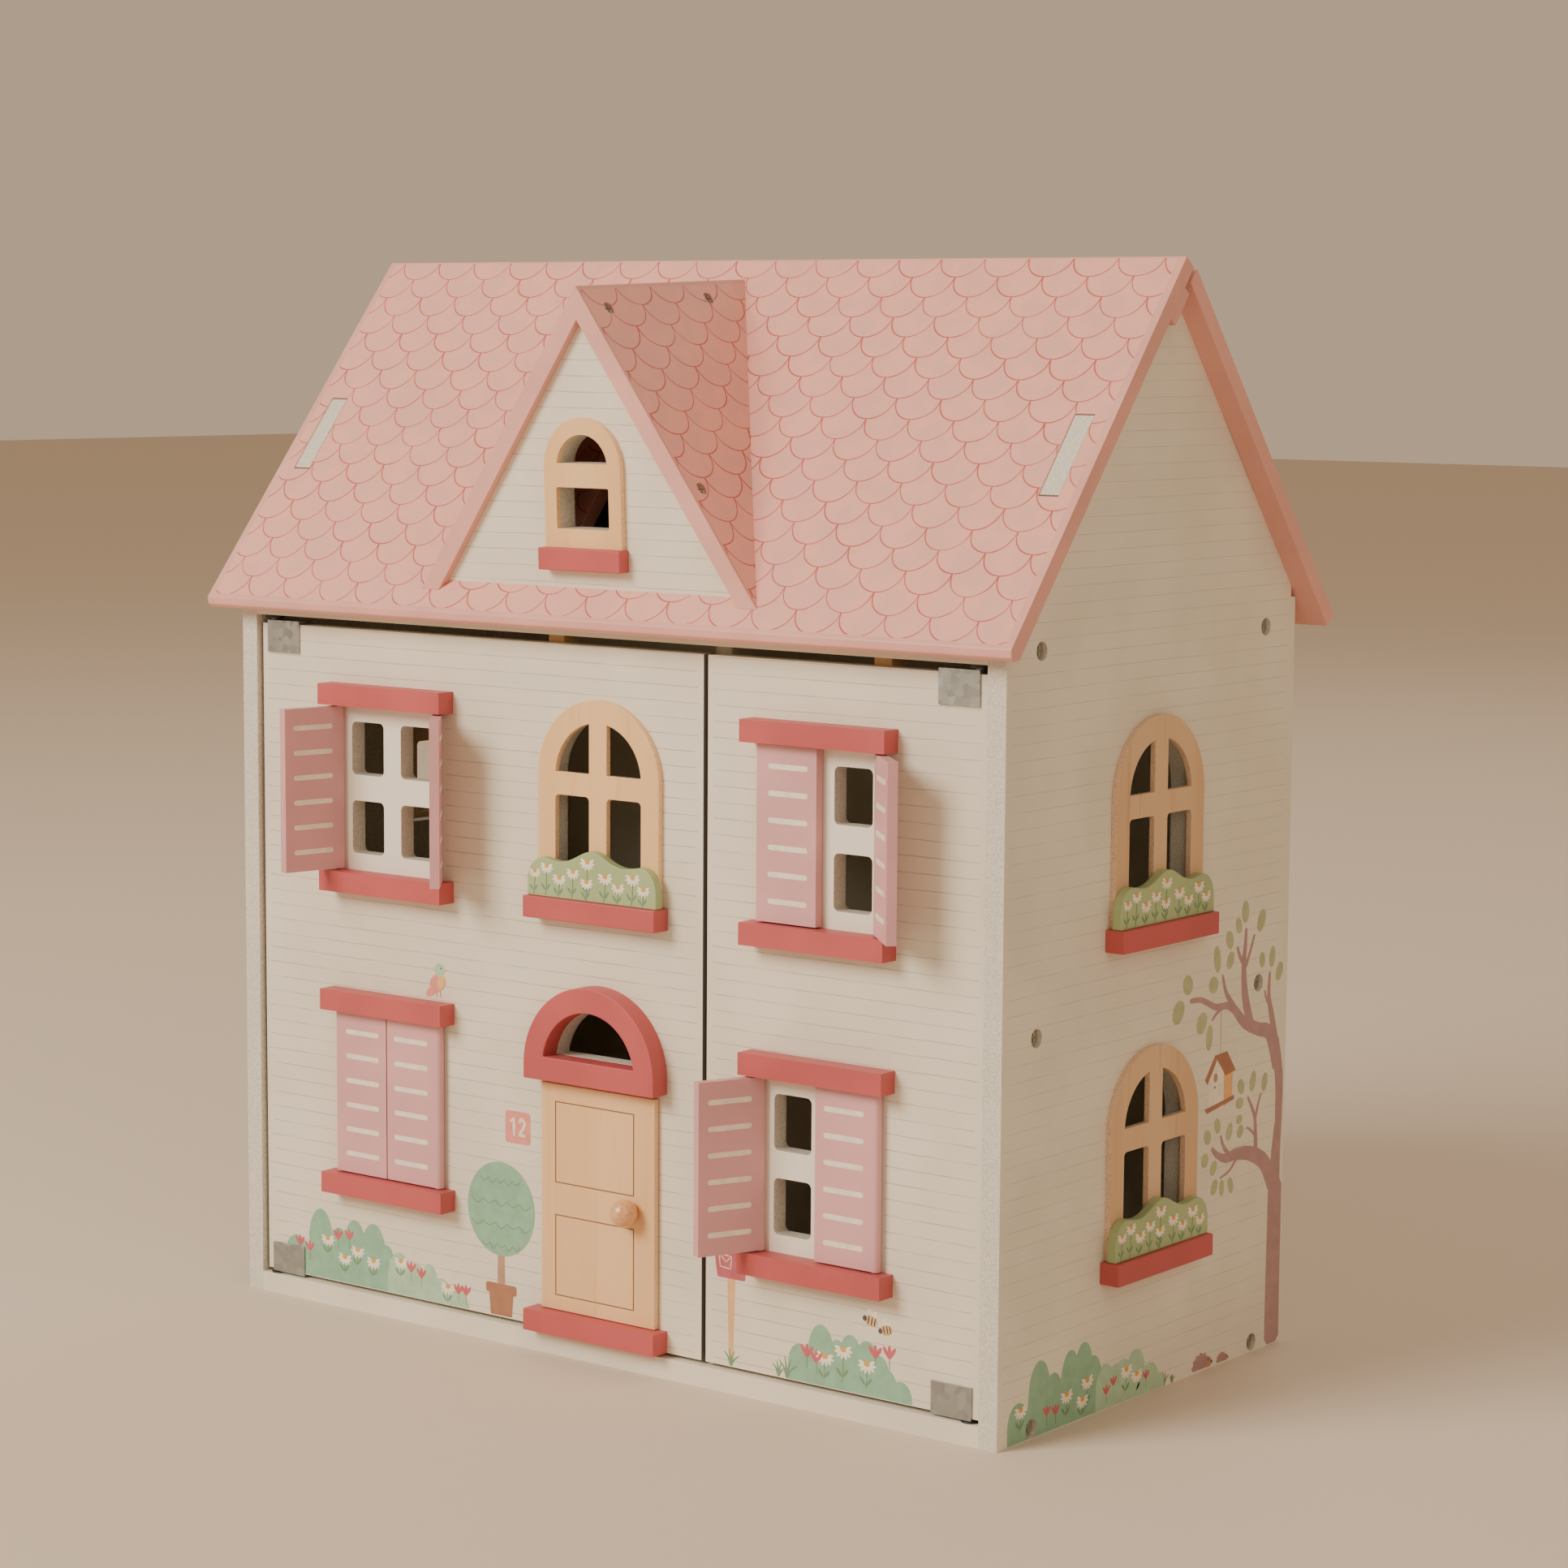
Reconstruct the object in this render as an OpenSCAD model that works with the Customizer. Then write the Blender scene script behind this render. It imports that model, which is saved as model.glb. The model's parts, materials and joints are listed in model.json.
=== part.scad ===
// Wooden dollhouse: boarded body with two rooms a floor and an attic, two swinging front
// doors with arched and shuttered windows, a small entry door, and a front roof that lifts.
// X runs along the front, +Y to the back, +Z up. The origin is the centre of the underside.

/* [House] */
// Width of the body over the side walls
house_w = 470; // [390:1:565]
// Depth of the body, wall fronts to the back of the back panel
house_d = 245; // [200:1:300]
// Thickness of side walls, partitions and the two upper floors
board_t = 10; // [8:0.5:12]
// Thickness of the base board
base_t = 10; // [8.5:0.5:12]
// Thickness of the back panel
back_t = 4; // [3:0.5:5]
// Height of the first floor's top above the base board's top
ground_h = 177.7; // [172:0.1:215]
// Height of the attic floor's top above the first floor's top
upper_h = 172.3; // [162:0.1:207]

/* [Roof] */
// Pitch of both roof boards
pitch = 51.3; // [46:0.1:54]
// Thickness of the roof and dormer boards
roof_t = 8; // [7:0.5:9.5]
// Overhang of the roof past the side walls
roof_side = 11.5; // [5:0.5:25]
// Overhang along the slope past the wall fronts
eave_over = 24.4; // [18:0.5:30]
// Rise of the rear board above the plane that mirrors the front board
rear_lift = 3.5; // [2:0.5:4]
// Length of the gable tenons along the slope
tenon_len = 44; // [20:1:60]
// Distance of the tenons from the ridge along the slope
tenon_s = 91; // [70:1:100]
// Length of the cleat's section along the slope
cleat_len = 18.4; // [12:0.1:30]

/* [Dormer] */
// Shift of the dormer's centre from the house's centre
dormer_x = -1.8; // [-80:0.1:80]
// Thickness of the dormer's roof boards
dormer_t = 9; // [7:0.5:10]
// Drop of the dormer's ridge below the main ridge
dormer_drop = 14.4; // [8:0.1:25]
// Slope of the dormer's boards
dormer_pitch = 54.6; // [50:0.1:60]
// Height of the dormer's lower edge above the attic floor's top
dormer_foot = 8.6; // [6:0.1:14]
// Overhang of the dormer's boards in front of its gable panel
dormer_over = 4.2; // [3:0.1:10]
// Forward lean of the whole dormer on the roof board
dormer_lean = 2.2; // [0:0.1:3]

/* [Front doors] */
// Thickness of the front door panels
door_t = 9; // [8:0.5:11]
// Recess of the doors behind the wall fronts
door_recess = 3; // [2:0.5:4]
// Gap round the door panels
door_gap = 1.5; // [1.3:0.1:2]
// Gap between the two door panels
seam_gap = 2.6; // [1.3:0.1:3]
// Shift of the doors' meeting line from the centre
seam_x = 65.2; // [50:0.1:75]
// Distance of the pivot from the door's hinge edge
pivot_in = 6.2; // [5.5:0.1:6.5]
// Depth of the pivot behind the door's face
pivot_back = 2.5; // [2.2:0.1:3]
// Radius of the pivot pins
pivot_r = 2; // [1.5:0.1:2.2]

/* [Windows] */
// Height of the ground floor sills' tops above the doors' lower edge
sill_h = 59; // [50:0.5:65]
// Height between the sills of the two storeys
storey_pitch = 154; // [145:1:165]
// Clear height between sill and lintel
window_h = 83; // [75:0.5:88]
// Width of lintels and sills
lintel_w = 82; // [76:1:90]
// Height of lintels and sills
lintel_h = 10.5; // [8:0.5:12]
// Depth of lintels and sills in front of the panel
lintel_d = 10.5; // [9:0.5:13]
// Width of one pane opening
pane_w = 21.6; // [18:0.2:26]
// Height of one pane opening
pane_h = 26.5; // [22:0.5:32]
// Distance between the centres of neighbouring panes, across
pane_dx = 33.2; // [31:0.2:36]
// Distance between the centres of neighbouring panes, up
pane_dz = 39.5; // [36:0.5:42]

/* [Shutters] */
// Distance of the shutter pivots from the window's centre
shutter_pivot = 33.4; // [31:0.1:36]
// Thickness of the shutters
shutter_t = 4.8; // [4:0.2:5]
// Radius of the shutter pins
pin_r = 1; // [0.8:0.1:1.2]
// Opening of the upper left window's left shutter
ul_left_open = 103; // [0:1:170]
// Opening of the upper left window's right shutter
ul_right_open = 130; // [0:1:170]
// Opening of the upper right window's right shutter
ur_right_open = 136; // [0:1:170]
// Opening of the lower right window's left shutter
lr_left_open = 114; // [0:1:170]

/* [Arched windows] */
// Outer radius of the arched window frames
arch_r = 37.5; // [34:0.5:40]
// Width of the frames' rim
arch_rim = 11; // [9:0.5:13]
// Height of the arch's centre above the sill's top
arch_rise = 58; // [52:0.5:65]
// Thickness of the plywood frames
ply_t = 3; // [2:0.5:4]
// Width of the bars between the panes
bar_w = 11; // [8:0.5:13]
// Thickness of the planter boards
planter_t = 5; // [4:0.5:6]

/* [Entry door] */
// Distance of the entry door's centre line from the doors' meeting line
entry_in = 63.2; // [55:0.1:66]
// Width of the entry door
entry_w = 71.6; // [62:0.1:76]
// Height of the entry door
entry_h = 111; // [100:0.5:112]
// Radius of the knob
knob_r = 6.7; // [5:0.1:8]
// Outer radius of the doorway's arch
porch_r = 40.7; // [38:0.1:44]
// Radius of the doorway arch's opening
porch_hole_r = 28.6; // [22:0.1:30]

/* [Hidden] */
$fn = 64;

// colours
white = [0.86, 0.83, 0.76];
pink = [0.88, 0.70, 0.65];
coral = [0.79, 0.45, 0.42];
mauve = [0.82, 0.64, 0.62];
ply = [0.90, 0.77, 0.59];
sage = [0.66, 0.72, 0.56];
zinc = [0.55, 0.55, 0.53];
black = [0.10, 0.10, 0.10];
steel = [0.62, 0.60, 0.56];

// body
eps = 0.01;
through = 60;
front_y = -house_d / 2;
inner_x = house_w / 2 - board_t;
wall_back_y = house_d / 2 - back_t;
floor1_z = base_t + ground_h - board_t;
attic_z = base_t + ground_h + upper_h - board_t;
attic_top = attic_z + board_t;

// roof: s runs down a slope from the ridge, d runs inward from the front board's face
roof_lift = 2.8;
roof_x = house_w / 2 + roof_side;
slope_len = house_d / 2 / cos(pitch) + eave_over;
ridge_z = attic_top + roof_lift + roof_t / cos(pitch) + house_d / 2 * tan(pitch);
function front_pt(s, d) = [-s * cos(pitch) + d * sin(pitch), ridge_z - s * sin(pitch) - d * cos(pitch)];
function rear_pt(s, d) = [s * cos(pitch) - d * sin(pitch), ridge_z - s * sin(pitch) - d * cos(pitch)];
// place along the front slope where depth d of the front board meets depth e of the rear board
function meet_s(d, e) = (e - d * cos(2 * pitch)) / sin(2 * pitch);
rear_out = -rear_lift;
rear_in = roof_t - rear_lift;
gable_gap = 0.5;
leaf_t = 0.8;
leaf_gap = 0.8;
hinge_space = 2 * leaf_t + leaf_gap;
rear_end_d = roof_t + hinge_space;
knuckle_r = 1.6;
knuckle_bore = 1.05;
hinge_pin_r = 1;
hinge_s = -3.2;
hinge_d = roof_t + hinge_space / 2;
hinge_len = 40;
hinge_xs = [-0.36 * house_w, 0, 0.36 * house_w];
cleat_t = 5;
cleat_s = meet_s(roof_t + cleat_t, rear_in) + 4;
cleat_gap = 0.6;
tenon_gap = 0.8;
tenon_side_gap = 0.3;
nose = 2.6;

// dormer
dormer_ridge = ridge_z - dormer_drop;
dormer_cut_z = attic_top + dormer_foot;
dormer_panel_t = 10;
dormer_pivot_z = dormer_cut_z + 4.5;
dormer_panel_y = front_pt((ridge_z - dormer_pivot_z) / sin(pitch), 0)[0];
dormer_front_y = dormer_panel_y - dormer_over;
dormer_hatch_w = 48;
dormer_hatch_s = [92, 176];
dormer_r = 23.5;
dormer_hole_r = 15.6;
dormer_arch_z = dormer_cut_z + 61;
dormer_pane_w = 32;
dormer_pane_h = 19.4;
dormer_pane_z = dormer_arch_z - 28.6;
dormer_flat = 2.1;
dormer_sill_w = 50.4;
dormer_sill_d = 7;
dormer_sill_top = dormer_arch_z - 37.5;

// doors
door_y = front_y + door_recess;
door_back_y = door_y + door_t;
door_z0 = base_t + 1.9;
door_z1 = attic_z - 4.5;
door_x = inner_x - door_gap;
pivot_x = door_x - pivot_in;
pivot_y = door_y + pivot_back;
left_door_end = seam_x - seam_gap / 2;
right_door_end = seam_x + seam_gap / 2;
bracket_w = 22.2;
bracket_h = 14.4;
bracket_t = 1;
bracket_in = 4;
bracket_cap = 0.8;
pivot_depth = 6;
pin_gap = 0.05;
socket_r = 4;
base_lip = 0.6;
attic_lip = 2;

// windows
col_left = -door_x + 89.4;
col_mid = seam_x - entry_in;
col_right = (seam_x + door_x) / 2 - 10.325;
sill_ground = door_z0 + sill_h;
sill_upper = sill_ground + storey_pitch;
shutter_slack = 0.8;
shutter_meet = 0.35;
shutter_pin_y = door_y - shutter_t / 2 - 0.6;
shutter_pin_in = 6;
pane_corner = 2.8;
frame_corner = 2.2;

// entry door
entry_gap = 0.4;
entry_sill = door_z0 + 10.5;
entry_z = entry_sill + 0.4;
entry_y = door_y - entry_gap - ply_t;
entry_pin_r = 0.7;
entry_left = col_mid - entry_w / 2;
entry_pin_x = entry_left + ply_t / 2;
porch_z = entry_z + entry_h + 2.4;
porch_arch_z = porch_z + 6.8;
porch_flat = 4.8;

// screws
screw_in = 27;
screw_bore_r = 4.3;
screw_head_r = 3.5;
screw_head_t = 1.8;
screw_sink = 2;
screw_r = 2;
screw_len = 32;

// a board lying in the Y-Z plane, from a list of [y, z] points, between two X values
module side_board(points, x0, x1) {
    translate([x0, 0, 0]) rotate([90, 0, 90]) linear_extrude(x1 - x0) polygon(points);
}

// a board lying in the X-Z plane, from a list of [x, z] points, between two Y values
module front_board(points, y0, y1) {
    translate([0, y1, 0]) rotate([90, 0, 0]) linear_extrude(y1 - y0) polygon(points);
}

// a round bar along Y from y0 to y1
module bar_y(r, x, z, y0, y1) {
    translate([x, y1, z]) rotate([90, 0, 0]) cylinder(r = r, h = y1 - y0);
}

// an opening with rounded corners, along Y
module round_hole(x, z, w, h, r, y0, y1) {
    translate([x - w / 2 + r, y0, z - h / 2]) cube([w - 2 * r, y1 - y0, h]);
    translate([x - w / 2, y0, z - h / 2 + r]) cube([w, y1 - y0, h - 2 * r]);
    for (i = [-1, 1], j = [-1, 1]) bar_y(r, x + i * (w / 2 - r), z + j * (h / 2 - r), y0, y1);
}

// an arch: a round top of radius r about [x, z] on straight legs of the given drop
module arch(x, z, r, drop, y0, y1) {
    difference() {
        union() {
            bar_y(r, x, z, y0, y1);
            translate([x - r, y0, z - drop]) cube([2 * r, y1 - y0, drop]);
        }
        if (drop < r) translate([x - 2 * r, y0 - 1, z - drop - 2 * r])
            cube([4 * r, y1 - y0 + 2, 2 * r]);
    }
}

// a segment of a circle above a flat lower edge
module segment(x, z, r, flat, y0, y1) {
    difference() {
        bar_y(r, x, z, y0, y1);
        translate([x - 2 * r, y0 - 1, z - 2 * r]) cube([4 * r, y1 - y0 + 2, 2 * r + flat]);
    }
}

// everything above the front roof board's face
module above_front_roof() {
    far = 3 * house_d;
    a = front_pt(-far, 0);
    b = front_pt(far, 0);
    side_board([a, b, [b[0] - far, b[1]], [a[0] - far, a[1]]], -house_w, house_w);
}

// four panes of a shuttered window whose sill's top is at z
module panes(x, z) {
    for (i = [-1, 1], j = [-1, 1])
        round_hole(x + i * pane_dx / 2, z + window_h / 2 + j * pane_dz / 2, pane_w, pane_h,
            pane_corner, door_y - 1, door_back_y + 1);
}

// arched frame with two quarter panes over two tall ones, standing on a sill at z, back at y
module arched_frame(x, z, y) {
    cz = z + arch_rise;
    in_r = arch_r - arch_rim;
    low = arch_rise - arch_rim - bar_w + 2;
    difference() {
        arch(x, cz, arch_r, arch_rise, y - ply_t, y);
        difference() {
            bar_y(in_r, x, cz, y - ply_t - 1, y + 1);
            translate([x - in_r - 1, y - ply_t - 2, cz - in_r - 1])
                cube([2 * in_r + 2, ply_t + 4, in_r + 1 + 2]);
            translate([x - bar_w / 2, y - ply_t - 2, cz]) cube([bar_w, ply_t + 4, in_r + 1]);
        }
        for (i = [-1, 1])
            round_hole(x + i * (bar_w / 2 + (in_r - bar_w / 2) / 2), cz - bar_w + 2 - low / 2,
                in_r - bar_w / 2, low, frame_corner, y - ply_t - 1, y + 1);
    }
}

// the opening in a board behind an arched frame
module arched_opening(x, z, y0, y1) {
    arch(x, z + arch_rise, arch_r - arch_rim + 2.5, arch_rise - 8, y0, y1);
}

// wavy planter board in front of an arched frame whose face is at y
module planter(x, z, y) {
    half = lintel_w / 2 - 1;
    steps = 48;
    points = [for (i = [0 : steps])
        let (u = -1 + 2 * i / steps, k = max(0, (abs(u) - 0.74) / 0.26))
        [x + half * u, z + 16.9 + 7 * exp(-pow(u / 0.3, 2)) + 2 * exp(-pow((abs(u) - 0.78) / 0.2, 2))
            - 8.5 * (1 - sqrt(1 - k * k))]];
    front_board(concat(points, [[x + half, z], [x - half, z]]), y - planter_t, y);
}

// lintel or sill bar on a panel whose face is at y
module bar(x, z, y, w, d) {
    translate([x - w / 2, y - d, z]) cube([w, d, lintel_h]);
}

// puts a window piece made for the front, with its face at y 0 and centre at x 0, on a side wall
module on_side(side) {
    translate([side * house_w / 2, 0, 0]) rotate([0, 0, side * 90]) children();
}

module side_wall(side) {
    x0 = side > 0 ? inner_x : -house_w / 2;
    notch_s = cleat_s + cleat_len + cleat_gap;
    notch_d = roof_t + cleat_t + cleat_gap;
    gap_d = roof_t + gable_gap;
    front_top = front_pt((house_d / 2 + gap_d * sin(pitch)) / cos(pitch), gap_d);
    rear_top = rear_pt((wall_back_y + rear_in * sin(pitch)) / cos(pitch), rear_in);
    difference() {
        union() {
            side_board([
                [front_y, 0], [wall_back_y, 0], rear_top,
                front_pt(meet_s(notch_d, rear_in), notch_d), front_pt(notch_s, notch_d),
                front_pt(notch_s, gap_d), front_top
            ], x0, x0 + board_t);
            side_board([
                front_pt(tenon_s, 0.3), front_pt(tenon_s, gap_d + 1),
                front_pt(tenon_s + tenon_len, gap_d + 1), front_pt(tenon_s + tenon_len, 0.3)
            ], x0, x0 + board_t);
            side_board([
                rear_pt(tenon_s, rear_out), rear_pt(tenon_s, rear_in + 1),
                rear_pt(tenon_s + tenon_len, rear_in + 1), rear_pt(tenon_s + tenon_len, rear_out)
            ], x0, x0 + board_t);
        }
        for (z = [sill_ground, sill_upper])
            on_side(side) arched_opening(0, z, -1, board_t + 1);
        screw_holes(side);
        back_screw_set();
    }
}

module wall_screw(side, y, z) {
    translate([side * (house_w / 2 - screw_sink), y, z]) rotate([0, -side * 90, 0]) {
        difference() {
            cylinder(r = screw_head_r, h = screw_head_t);
            translate([-2.4, -0.45, -1]) cube([4.8, 0.9, 1.8]);
            translate([-0.45, -2.4, -1]) cube([0.9, 4.8, 1.8]);
        }
        translate([0, 0, screw_head_t]) cylinder(r = screw_r, h = screw_len - screw_head_t);
    }
}

module screw_holes(side) {
    for (y = [front_y + screw_in, house_d / 2 - screw_in], z = screw_zs) {
        translate([side * (house_w / 2 + 1), y, z]) rotate([0, -side * 90, 0])
            cylinder(r = screw_bore_r, h = screw_sink + screw_head_t + 1);
        translate([side * (house_w / 2 + 1), y, z]) rotate([0, -side * 90, 0])
            cylinder(r = screw_r, h = screw_sink + screw_len + 1);
    }
}
screw_zs = [base_t / 2, floor1_z + board_t / 2, attic_z + board_t / 2];

module floor_board(z, t, y0) {
    difference() {
        translate([-inner_x, y0, z]) cube([2 * inner_x, wall_back_y - y0, t]);
        for (side = [-1, 1]) screw_holes(side);
        back_screw_set();
    }
}

module pivot_bore(z0, z1, r) {
    for (side = [-1, 1]) translate([side * pivot_x, pivot_y, z0]) cylinder(r = r, h = z1 - z0);
}

inner_floor_y = front_y + door_recess + door_t + 4;
back_screw_x = house_w / 2 - board_t / 2;
back_screw_zs = [base_t / 2 + 24, 0.5 * attic_z, attic_z - 24];
back_h = rear_pt((house_d / 2 + rear_in * sin(pitch)) / cos(pitch), rear_in)[1] - 0.3;
doorway_w = 80;
doorway_h = 120;
doorway_lintel_r = 12;
ground_wall_x = seam_x;
upper_wall_x = seam_x;

module back_screw(x, z) {
    translate([x, house_d / 2, z]) rotate([90, 0, 0]) {
        translate([0, 0, -1.2]) cylinder(r = 3.2, h = 1.2);
        cylinder(r = 1.3, h = 16);
    }
}

module back_screw_set() {
    for (x = [-back_screw_x, back_screw_x], z = back_screw_zs) back_screw(x, z);
    for (x = [-0.25, 0, 0.25], z = screw_zs) back_screw(x * house_w, z);
}

module partition(x, z0, z1) {
    mid_y = (inner_floor_y + wall_back_y) / 2;
    difference() {
        translate([x - board_t / 2, inner_floor_y, z0])
            cube([board_t, wall_back_y - inner_floor_y, z1 - z0]);
        translate([x - board_t, mid_y - doorway_w / 2, z0 - 1])
            cube([2 * board_t, doorway_w, doorway_h - doorway_lintel_r + 1]);
        translate([x - board_t, mid_y - doorway_w / 2 + doorway_lintel_r, z0])
            cube([2 * board_t, doorway_w - 2 * doorway_lintel_r, doorway_h]);
        for (j = [-1, 1])
            translate([x - board_t, mid_y + j * (doorway_w / 2 - doorway_lintel_r),
                z0 + doorway_h - doorway_lintel_r])
                rotate([0, 90, 0]) cylinder(r = doorway_lintel_r, h = 2 * board_t);
    }
}

// hinge leaves: a plate on one side of the hinge gap and the knuckles that it carries
module hinge_plate(x0, x1, s0, s1, d0, d1) {
    side_board([front_pt(s0, d0), front_pt(s1, d0), front_pt(s1, d1), front_pt(s0, d1)], x0, x1);
}
module knuckle(x0, x1) {
    c = front_pt(hinge_s, hinge_d);
    translate([x0, c[0], c[1]]) rotate([0, 90, 0]) cylinder(r = knuckle_r, h = x1 - x0);
}
module hinge_leaf(x, d0, d1, inner) {
    third = hinge_len / 3;
    play = 0.2;
    free_s = hinge_s + knuckle_r + 0.4;
    spans = inner ? [[-third / 2 + play, third / 2 - play]]
        : [[-hinge_len / 2, -third / 2 - play], [third / 2 + play, hinge_len / 2]];
    difference() {
        union() {
            hinge_plate(x - hinge_len / 2, x + hinge_len / 2, free_s, rear_corner_s - 0.3, d0, d1);
            for (span = spans) {
                hinge_plate(x + span[0], x + span[1], hinge_s, free_s + eps, d0, d1);
                knuckle(x + span[0], x + span[1]);
            }
        }
        c = front_pt(hinge_s, hinge_d);
        translate([x - hinge_len, c[0], c[1]]) rotate([0, 90, 0])
            cylinder(r = inner ? hinge_pin_r : knuckle_bore, h = 2 * hinge_len);
    }
}
rear_corner_s = meet_s(rear_end_d, rear_in);

module door_bracket(side, top) {
    edge = door_x - bracket_in;
    x0 = side > 0 ? edge - bracket_w : -edge;
    z0 = top ? door_z1 - bracket_h : door_z0 - bracket_t;
    // outer skin over the face, the end and the back of the panel
    difference() {
        translate([x0, door_y - bracket_t, top ? z0 : door_z0 - bracket_t])
            cube([bracket_w, door_t + 2 * bracket_t, bracket_h + bracket_t + (top ? bracket_cap : 0)]);
        translate([x0 - 1, door_y, top ? z0 - 1 : door_z0])
            cube([bracket_w + 2, door_t, bracket_h + 1]);
    }
    reach = attic_z - door_z1 + pivot_depth;
    drop = door_z0 - base_t + pivot_depth - 1;
    translate([side * pivot_x, pivot_y, top ? door_z1 : door_z0 - drop])
        cylinder(r = pivot_r, h = top ? reach : drop);
}

module pin_pair(x, z0, z1, y, r, depth, slack) {
    // pins that stand in the bars above and below and reach into the leaf between them
    translate([x, y, z0 - depth]) cylinder(r = r, h = depth + slack + depth);
    translate([x, y, z1 - slack - depth]) cylinder(r = r, h = depth + slack + depth);
}

module shutter_pins(x, z) {
    for (i = [-1, 1])
        pin_pair(x + i * shutter_pivot, z, z + window_h, shutter_pin_y, pin_r, shutter_pin_in,
            shutter_slack);
}

module bars_with_bores(x, zs) {
    difference() {
        for (z = zs) bar(x, z, door_y, lintel_w, lintel_d);
        for (z = [sill_ground, sill_upper]) shutter_pins(x, z);
    }
}

// a shutter hung at side -1 (left) or 1 (right) of the window at x, opened by an angle
module shutter(x, z, side, angle) {
    length = shutter_pivot - shutter_meet;
    h = window_h - 2 * shutter_slack;
    bore_r = pin_r + pin_gap;
    translate([x + side * shutter_pivot, shutter_pin_y, z + shutter_slack])
        rotate([0, 0, side * angle]) difference() {
            union() {
                translate([side > 0 ? -length : 0, -shutter_t / 2, 0]) cube([length, shutter_t, h]);
                cylinder(r = shutter_t / 2, h = h);
                translate([0, 0, -0.4]) cylinder(r = shutter_t / 2 - 0.3, h = h + 0.8);
            }
            translate([0, 0, -1]) cylinder(r = bore_r, h = shutter_pin_in + 1.3);
            translate([0, 0, h - shutter_pin_in - 0.3]) cylinder(r = bore_r, h = shutter_pin_in + 1.3);
        }
}

module left_wall() { color(white) side_wall(-1); }
module right_wall() { color(white) side_wall(1); }
module base_board() {
    color(white) difference() {
        floor_board(0, base_t, front_y);
        pivot_bore(base_t - pivot_depth - 1, base_t + 1, socket_r);
    }
}
module first_floor() { color(white) floor_board(floor1_z, board_t, inner_floor_y); }
module attic_floor() {
    color(white) difference() {
        floor_board(attic_z, board_t, front_y);
        pivot_bore(attic_z - 1, attic_z + pivot_depth + 1, socket_r);
    }
}
module back_panel() {
    color(white) difference() {
        translate([-house_w / 2, wall_back_y, 0]) cube([house_w, back_t, back_h]);
        back_screw_set();
    }
}
module ground_partition() { color(white) partition(ground_wall_x, base_t, floor1_z); }
module upper_partition() { color(white) partition(upper_wall_x, floor1_z + board_t, attic_z); }
module rear_roof() {
    color(pink) difference() {
        side_board([
            front_pt(meet_s(rear_end_d, rear_out), rear_end_d),
            front_pt(rear_corner_s, rear_end_d),
            rear_pt(slope_len, rear_in), rear_pt(slope_len, rear_out)
        ], -roof_x, roof_x);
        for (side = [-1, 1]) side_board([
            rear_pt(tenon_s, rear_out - 1), rear_pt(tenon_s, rear_in + 1),
            rear_pt(tenon_s + tenon_len, rear_in + 1), rear_pt(tenon_s + tenon_len, rear_out - 1)
        ], side > 0 ? inner_x : -house_w / 2, side > 0 ? house_w / 2 : -inner_x);
    }
}
module wall_screws() {
    color(steel) for (side = [-1, 1], y = [front_y + screw_in, house_d / 2 - screw_in], z = screw_zs)
        wall_screw(side, y, z);
}
module back_screws() { color(steel) back_screw_set(); }
module right_upper_window() { color(ply) on_side(1) arched_frame(0, sill_upper, 0); }
module right_lower_window() { color(ply) on_side(1) arched_frame(0, sill_ground, 0); }
module left_upper_window() { color(ply) on_side(-1) arched_frame(0, sill_upper, 0); }
module left_lower_window() { color(ply) on_side(-1) arched_frame(0, sill_ground, 0); }
module side_sills(side) {
    color(coral) on_side(side) for (z = [sill_ground, sill_upper])
        bar(0, z - lintel_h, 0, lintel_w, lintel_d);
}
module right_side_sills() { side_sills(1); }
module left_side_sills() { side_sills(-1); }
module side_planters(side) {
    color(sage) on_side(side) for (z = [sill_ground, sill_upper]) planter(0, z, -ply_t);
}
module right_side_planters() { side_planters(1); }
module left_side_planters() { side_planters(-1); }
module pivot_sockets() {
    color(black) for (side = [-1, 1]) translate([side * pivot_x, pivot_y, 0]) {
        difference() {
            union() {
                translate([0, 0, base_t - pivot_depth - 1]) cylinder(r = socket_r, h = pivot_depth + 1);
                translate([0, 0, base_t]) cylinder(r = socket_r + 0.8, h = base_lip);
            }
            translate([0, 0, base_t - pivot_depth]) cylinder(r = pivot_r + pin_gap, h = through);
        }
        difference() {
            union() {
                translate([0, 0, attic_z]) cylinder(r = socket_r, h = pivot_depth + 1);
                translate([0, 0, attic_z - attic_lip]) cylinder(r = socket_r + 0.8, h = attic_lip);
            }
            translate([0, 0, attic_z - through])
                cylinder(r = pivot_r + pin_gap, h = through + pivot_depth + 0.5);
        }
    }
}
module door_stops() {
    color(ply) for (x = [seam_x - 100, seam_x + 94])
        translate([x - 5, door_back_y + 0.5, attic_z - 14]) cube([10, 12, 14]);
}
module rear_hinge_leaves() {
    color(steel) for (x = hinge_xs) hinge_leaf(x, rear_end_d - leaf_t, rear_end_d, true);
}
module front_hinge_leaves() {
    color(steel) for (x = hinge_xs) hinge_leaf(x, roof_t, roof_t + leaf_t, false);
}
module roof_hinge_pins() {
    c = front_pt(hinge_s, hinge_d);
    color(steel) for (x = hinge_xs)
        translate([x - hinge_len / 2, c[0], c[1]]) rotate([0, 90, 0])
            cylinder(r = hinge_pin_r, h = hinge_len);
}
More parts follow.
